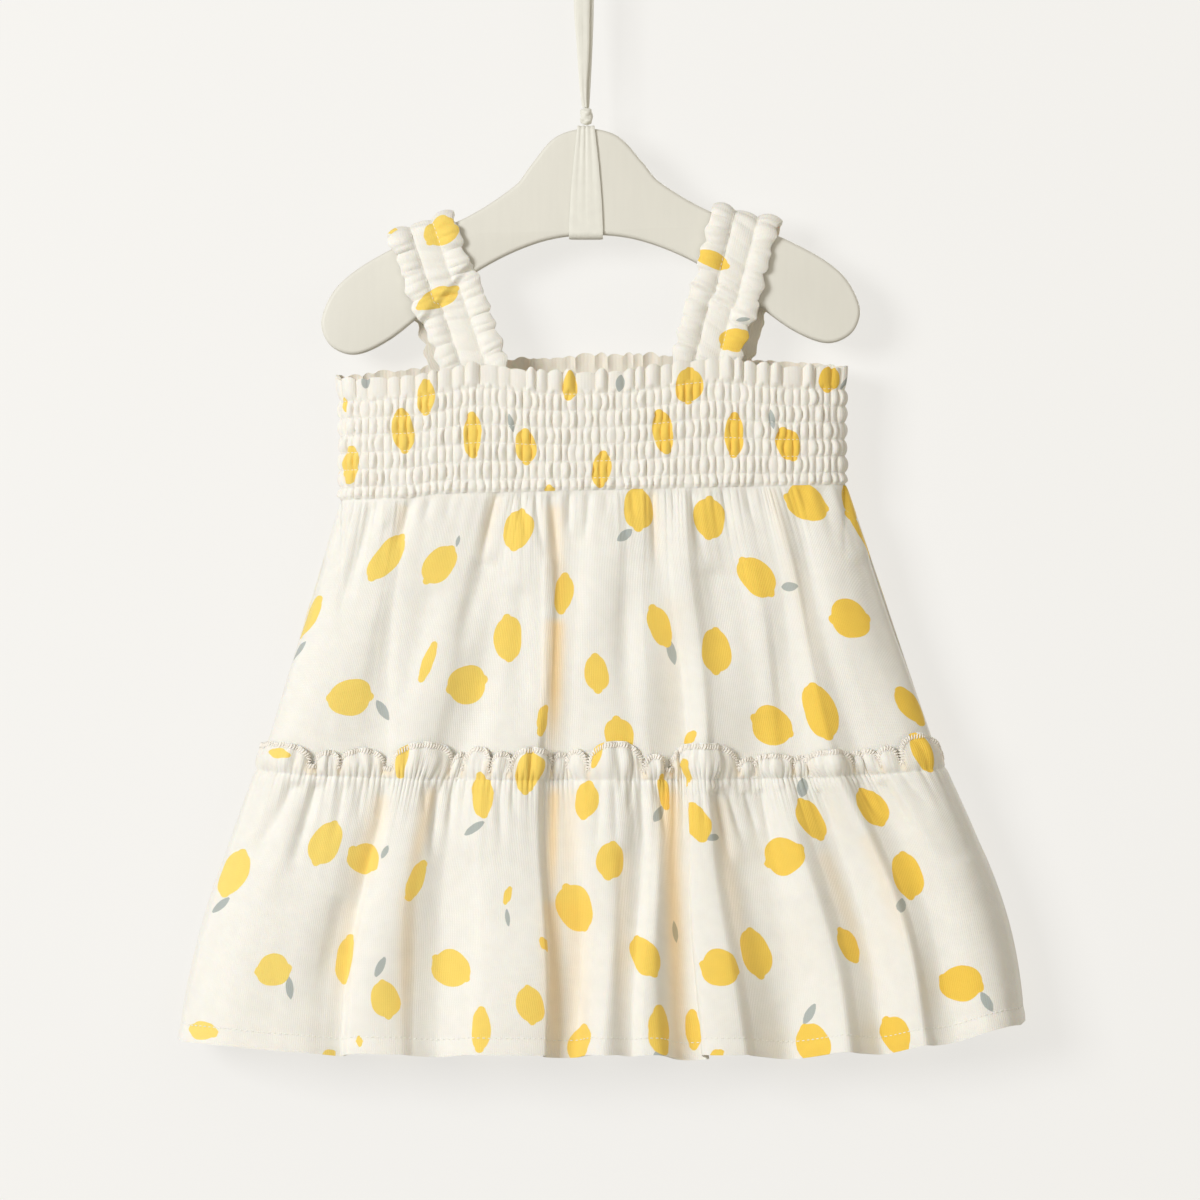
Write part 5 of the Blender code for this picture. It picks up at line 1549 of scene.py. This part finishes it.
def hem_line(skin, normals):
    """The line a few millimetres above a hem."""
    steps = np.linalg.norm(skin[-1] - skin[-2], axis=1).mean()
    number = skin.shape[0] - 1 - int(round(HEM_STITCH_ABOVE / steps))
    return [(skin[number, 2:-2], normals[number, 2:-2])]


def overlock_lines(skin, normals):
    """Lines close under a frill's edge."""
    return [(skin[2, 1:-1], normals[2, 1:-1])]


ELASTIC = {"pitch": 0.00205, "length": 0.0017, "radius": 0.00019, "lift": 0.00006}
STRAP_ELASTIC = {"pitch": 0.0022, "length": 0.0018, "radius": 0.00018, "lift": 0.00002}
HEM = {"pitch": 0.0026, "length": 0.0019, "radius": 0.00026, "lift": 0.00008}
OVERLOCK = {"pitch": 0.0013, "length": 0.0034, "radius": 0.00046, "slant": 1.25, "lift": 0.00012}


def sew_pair(kind, lines_on, skins, material, sizes, seeds):
    """The same stitching on the front and the back."""
    return [
        sew(f"{kind}_{end}", lines_on(*skin), material, seed=seed, **sizes)
        for end, skin, seed in zip(("front", "back"), skins, seeds)
    ]


bodice_skins = (bodice_front_skin, bodice_back_skin)
lower_skins = (lower_front_skin, lower_back_skin)
smock_thread_front, smock_thread_back = sew_pair(
    "smocking_thread", smocking_lines, bodice_skins, THREAD, ELASTIC, (5, 6)
)
strap_thread = sew("strap_thread", strap_lines, THREAD, seed=7, **STRAP_ELASTIC)
hem_thread_front, hem_thread_back = sew_pair(
    "hem_thread", hem_line, lower_skins, THREAD, HEM, (8, 9)
)
overlock_front, overlock_back = sew_pair(
    "overlock", overlock_lines, lower_skins, OVERLOCK_THREAD, OVERLOCK, (10, 13)
)

# %% [markdown]
# The hanger is a flat board, cut to a bow with rounded lobes and eased along its edges, under a
# coat of off-white paint that lets a little grain through. The outline is the solid's, read more
# finely, and rounding the edge takes a few nested rings.

# %% Hanger
HANGER_TOP_Z, HANGER_TILT_DEGREES = -85.6, 1.4
HANGER_THICKNESS, HANGER_EDGE_RADIUS = 8.0, 1.8
HANGER_STEPS = 14
EDGE_STEPS = 5
OUTLINE_STEPS = 6000
SHARP_BOARD_DEGREES = 40.0
PAINT_COLOUR = (0.732, 0.712, 0.635)
OutlinePoint = namedtuple("OutlinePoint", "x down")
HANGER_HALF = named_rows(
    OutlinePoint,
    (0.0, 0.0), (14.5, 3.8), (26.2, 16.6), (33.3, 25.4), (56.5, 39.8), (89.7, 52.8), (115.8, 69.0),
    (125.1, 85.9), (121.5, 97.5), (110.2, 102.2), (95.0, 96.5), (78.1, 84.1), (51.6, 64.6),
    (24.0, 52.4), (0.0, 49.2),
)


def hanger_outline():
    """The board's outline as x and z, mirrored, smooth and tilted."""
    half_line = np.array(HANGER_HALF)
    left = half_line[-2:0:-1] * (-1.0, 1.0)
    loop = np.vstack([half_line, left])
    padded = np.vstack([loop[-2:], loop, loop[:3]])
    knots = distances(padded)
    first, last = knots[2], knots[2 + len(loop)]
    fine = through(padded, knots, np.linspace(first, last, OUTLINE_STEPS))
    smooth = evenly(fine, len(loop) * HANGER_STEPS)[:-1]
    angle = math.radians(HANGER_TILT_DEGREES)
    x = smooth[:, 0] * math.cos(angle) + smooth[:, 1] * math.sin(angle)
    z = HANGER_TOP_Z - smooth[:, 1] * math.cos(angle) + smooth[:, 0] * math.sin(angle)
    return np.column_stack([x, z])


def paint_material():
    """Satin off-white paint over wood, with faint brush lines and grain."""
    material, tree, shader = new_material("painted_wood", Roughness=0.48, Specular_IOR_Level=0.35)
    place = object_place(tree)
    drawn_out = add_node(tree, "ShaderNodeMapping", Vector=place, Scale=(1.0, 1.0, 0.12))
    brushed = drawn_out.outputs["Vector"]
    streak = group_node(tree, MOTTLE, Place=brushed, Scale=420.0, Depth=0.05)
    mottle = group_node(tree, MOTTLE, Place=place, Scale=30.0, Depth=0.04)
    uneven = math_node(tree, "MULTIPLY", streak.outputs[0], mottle.outputs[0])
    feed(tree, shader, {"Base Color": darkened(tree, PAINT_COLOUR, uneven)})
    add_bump(tree, shader, uneven, 0.25, 0.0002)
    return material


def make_hanger():
    """The board from nested rings, with its two faces filled."""
    outline = hanger_outline()
    along = np.roll(outline, -1, axis=0) - np.roll(outline, 1, axis=0)
    along /= np.linalg.norm(along, axis=1, keepdims=True)
    inward = np.column_stack([along[:, 1], -along[:, 0]])
    rings = []
    for end in (-1.0, 1.0):
        for angle in np.linspace(0.0, math.pi / 2, EDGE_STEPS + 1)[:: -int(end)]:
            inset = HANGER_EDGE_RADIUS * (1.0 - math.sin(angle))
            y = end * (HANGER_THICKNESS / 2 - HANGER_EDGE_RADIUS * (1.0 - math.cos(angle)))
            rings.append([(x, y, z) for x, z in outline + inward * inset])
    return ring_solid("painted_board", rings, False, paint_material(), SHARP_BOARD_DEGREES)


board = make_hanger()

# %% [markdown]
# The ribbon is soft cotton tape. It is wrapped round the board, pulled into a knot on top, and
# goes up in two strands. A strand is swept along its stations with a slightly cupped section and a
# few long creases, and the band is a ring round the board, creased where the knot draws it in.

# %% Ribbon
RIBBON_WALL = 1.0
BAND_CLEARANCE, BAND_ROUNDING = 0.3, 0.25
BAND_TOP_Z, BAND_BOTTOM_Z = -85.4, -135.6
BAND_WIDTH_BELOW, BAND_WIDTH_ABOVE = 15.8, 8.0
BAND_CREASES = ((0.45, -0.05, 0.10), (0.27, 0.5, 0.16), (0.35, -0.55, 0.14))
KNOT_CENTRE = (0.2, 0.0, -79.7)
KNOT_HALF_SIZES = (3.5, 3.3, 4.0)
KNOT_ROWS, KNOT_COLUMNS = 36, 48
LOOP_HALF_WIDTH, LOOP_HALF_HEIGHT = 5.0, 6.6
LOOP_STEPS = 72
CORNER_STEPS, LEG_STEPS = 8, 40
SHARP_TAPE_DEGREES = 55.0
TAPE_COLOUR = (0.785, 0.77, 0.69)


def ribbon_material():
    """Cotton tape with fine lengthwise threads."""
    material, tree, shader = new_material("cotton_tape", Roughness=0.75, Sheen_Weight=0.15)
    place = object_place(tree)
    mottle = group_node(tree, MOTTLE, Place=place, Scale=220.0, Depth=0.10)
    feed(tree, shader, {"Base Color": darkened(tree, TAPE_COLOUR, mottle.outputs[0])})
    knit = group_node(tree, KNIT, Place=place, Wale=0.0007, Course=0.0006)
    add_bump(tree, shader, knit.outputs["Height"], 0.5, 0.00006)
    return material


TAPE = ribbon_material()


def tape_piece(name, rings, closed=True):
    """A piece of the ribbon."""
    return ring_solid(name, rings, closed, TAPE, SHARP_TAPE_DEGREES)


def flat_section(half_width, half_thick, crease, count=9):
    """Section of a tape as offsets across and out, with a long crease off its middle."""
    w = np.linspace(-1.0, 1.0, count)
    dip = -crease * np.exp(-(((w - 0.25) / 0.22) ** 2))
    top = [(a * half_width, half_thick * (1 - a**6) + d) for a, d in zip(w, dip)]
    bottom = [(a * half_width, -half_thick * (1 - a**6) + d) for a, d in zip(w, dip)][::-1]
    return top + bottom[1:-1]


def make_strand(name, stations, crease):
    """A flat strand through its stations, facing the front."""
    table = np.array(stations)
    line = through(table, chord_shares(table[:, :3]), np.linspace(0.0, 1.0, 61))
    rings = []
    for number, (x, y, z, width) in enumerate(line):
        fold = crease * (0.6 + 0.4 * math.sin(number * 0.21))
        section = flat_section(width / 2, RIBBON_WALL / 2, fold)
        rings.append([(x + a, y - d, z) for a, d in section])
    return tape_piece(name, rings, closed=False), line[:, :3]


ribbon, ribbon_line = make_strand("ribbon_strand_front", RIBBON_STATIONS, 0.25)
strand, _ = make_strand("ribbon_strand_rear", STRAND_STATIONS, 0.15)


def make_loop():
    """The loop on the peg: a drop-shaped ring of tape."""
    section = (
        (-3.0, 0.3), (-2.6, 0.0), (2.6, 0.0), (3.0, 0.3), (3.0, 0.7), (2.6, 1.0), (-2.6, 1.0),
        (-3.0, 0.7),
    )
    rings = []
    for step in range(LOOP_STEPS):
        angle = TURN * step / LOOP_STEPS
        narrowing = 0.5 + 0.5 * math.sin((math.cos(angle) + 1.0) * math.pi / 4.0)
        ring = []
        for depth, inset in section:
            x = (LOOP_HALF_WIDTH - inset) * math.sin(angle) * narrowing
            z = (LOOP_HALF_HEIGHT - inset) * math.cos(angle) - LOOP_HALF_HEIGHT
            ring.append((x, depth, z))
        rings.append(ring)
    return tape_piece("ribbon_loop", rings)


loop = make_loop()


def make_band():
    """The band round the board, with creases that fan out from the knot."""
    reach_y = HANGER_THICKNESS / 2 + BAND_CLEARANCE
    corner = HANGER_EDGE_RADIUS + BAND_CLEARANCE
    top, bottom = BAND_TOP_Z + BAND_CLEARANCE, BAND_BOTTOM_Z - BAND_CLEARANCE
    path = []
    for side, up, start in ((-1, 1, 180.0), (1, 1, 90.0), (1, -1, 0.0), (-1, -1, -90.0)):
        z = top if up == 1 else bottom
        centre = np.array([side * (reach_y - corner), z - up * corner])
        for step in range(CORNER_STEPS + 1):
            angle = math.radians(start - 90.0 * step / CORNER_STEPS)
            facing = np.array([math.cos(angle), math.sin(angle)])
            path.append((centre + facing * corner, facing))
        if side == up:
            end_z = bottom + corner if up == 1 else top - corner
            for step in range(1, LEG_STEPS):
                z_here = centre[1] + (end_z - centre[1]) * step / LEG_STEPS
                path.append((np.array([side * reach_y, z_here]), np.array([side, 0.0])))
    rings = []
    w = np.linspace(-1.0, 1.0, 33)
    for place, facing in path:
        height = min(1.0, max(0.0, (place[1] - BAND_BOTTOM_Z) / (BAND_TOP_Z - BAND_BOTTOM_Z)))
        half_width = (BAND_WIDTH_BELOW + (BAND_WIDTH_ABOVE - BAND_WIDTH_BELOW) * height**1.6) / 2
        drawn = height**1.2
        crease = sum(
            deep * drawn * np.exp(-(((w - at) / reach) ** 2)) for deep, at, reach in BAND_CREASES
        )
        thick = RIBBON_WALL - BAND_ROUNDING * w**10 - crease
        outer = [(a * half_width, *(place + facing * out)) for a, out in zip(w, thick)]
        inner = [(a * half_width, *(place + facing * 0.02)) for a in w[::-1]]
        rings.append(outer + inner)
    return tape_piece("ribbon_band", rings)


band = make_band()


def make_knot():
    """The knot: a small ball of tape with turns that cross over each other."""
    rings = []
    for row in range(1, KNOT_ROWS):
        v = math.pi * row / KNOT_ROWS
        ring = []
        for column in range(KNOT_COLUMNS):
            u = TURN * column / KNOT_COLUMNS
            turns = 0.09 * math.sin(3.0 * u + 5.0 * v) + 0.06 * math.sin(2.0 * u - 7.0 * v)
            waist = 1.0 - 0.2 * math.exp(-((math.cos(v) * 3.0) ** 2))
            spread = math.sin(v) ** 0.85 * waist * (0.95 + turns)
            way = (math.cos(u) * spread, math.sin(u) * spread, math.cos(v))
            ring.append([c + half * w for c, half, w in zip(KNOT_CENTRE, KNOT_HALF_SIZES, way)])
        rings.append(ring)
    return tape_piece("ribbon_knot", rings, closed=False)


knot = make_knot()

# %% [markdown]
# Every piece now rides on the one body and takes the place of the solid it stands for, which is
# hidden. The cloth pieces take the jersey.

# %% Ride and replace
SLOTS = {
    bodice_front: ("jersey", "bodice_front"),
    bodice_back: ("jersey", "bodice_back"),
    upper_front: ("jersey", "skirt_upper_front"),
    upper_back: ("jersey", "skirt_upper_back"),
    lower_front: ("jersey", "skirt_lower_front"),
    lower_back: ("jersey", "skirt_lower_back"),
    strap_pieces[0]: ("jersey", "strap_left"),
    strap_pieces[1]: ("jersey", "strap_right"),
    board: ("painted_wood", "hanger"),
    band: ("ribbon", "tie_band"),
    knot: ("ribbon", "tie_knot"),
    ribbon: ("ribbon", "tie_ribbon"),
    strand: ("ribbon", "tie_strand"),
    loop: ("ribbon", "tie_loop"),
}
THREADS = (
    smock_thread_front, smock_thread_back, strap_thread, hem_thread_front, hem_thread_back,
    overlock_front, overlock_back,
)
for piece, (slot, node) in SLOTS.items():
    if slot == "jersey":
        piece.data.materials.append(JERSEY)
    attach(piece, "root")
    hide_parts(node)
for piece in THREADS:
    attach(piece, "root")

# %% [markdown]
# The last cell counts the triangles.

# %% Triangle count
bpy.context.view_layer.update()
triangles = sum(len(p.vertices) - 2 for piece in (*SLOTS, *THREADS) for p in piece.data.polygons)
print("triangles in all:", triangles)
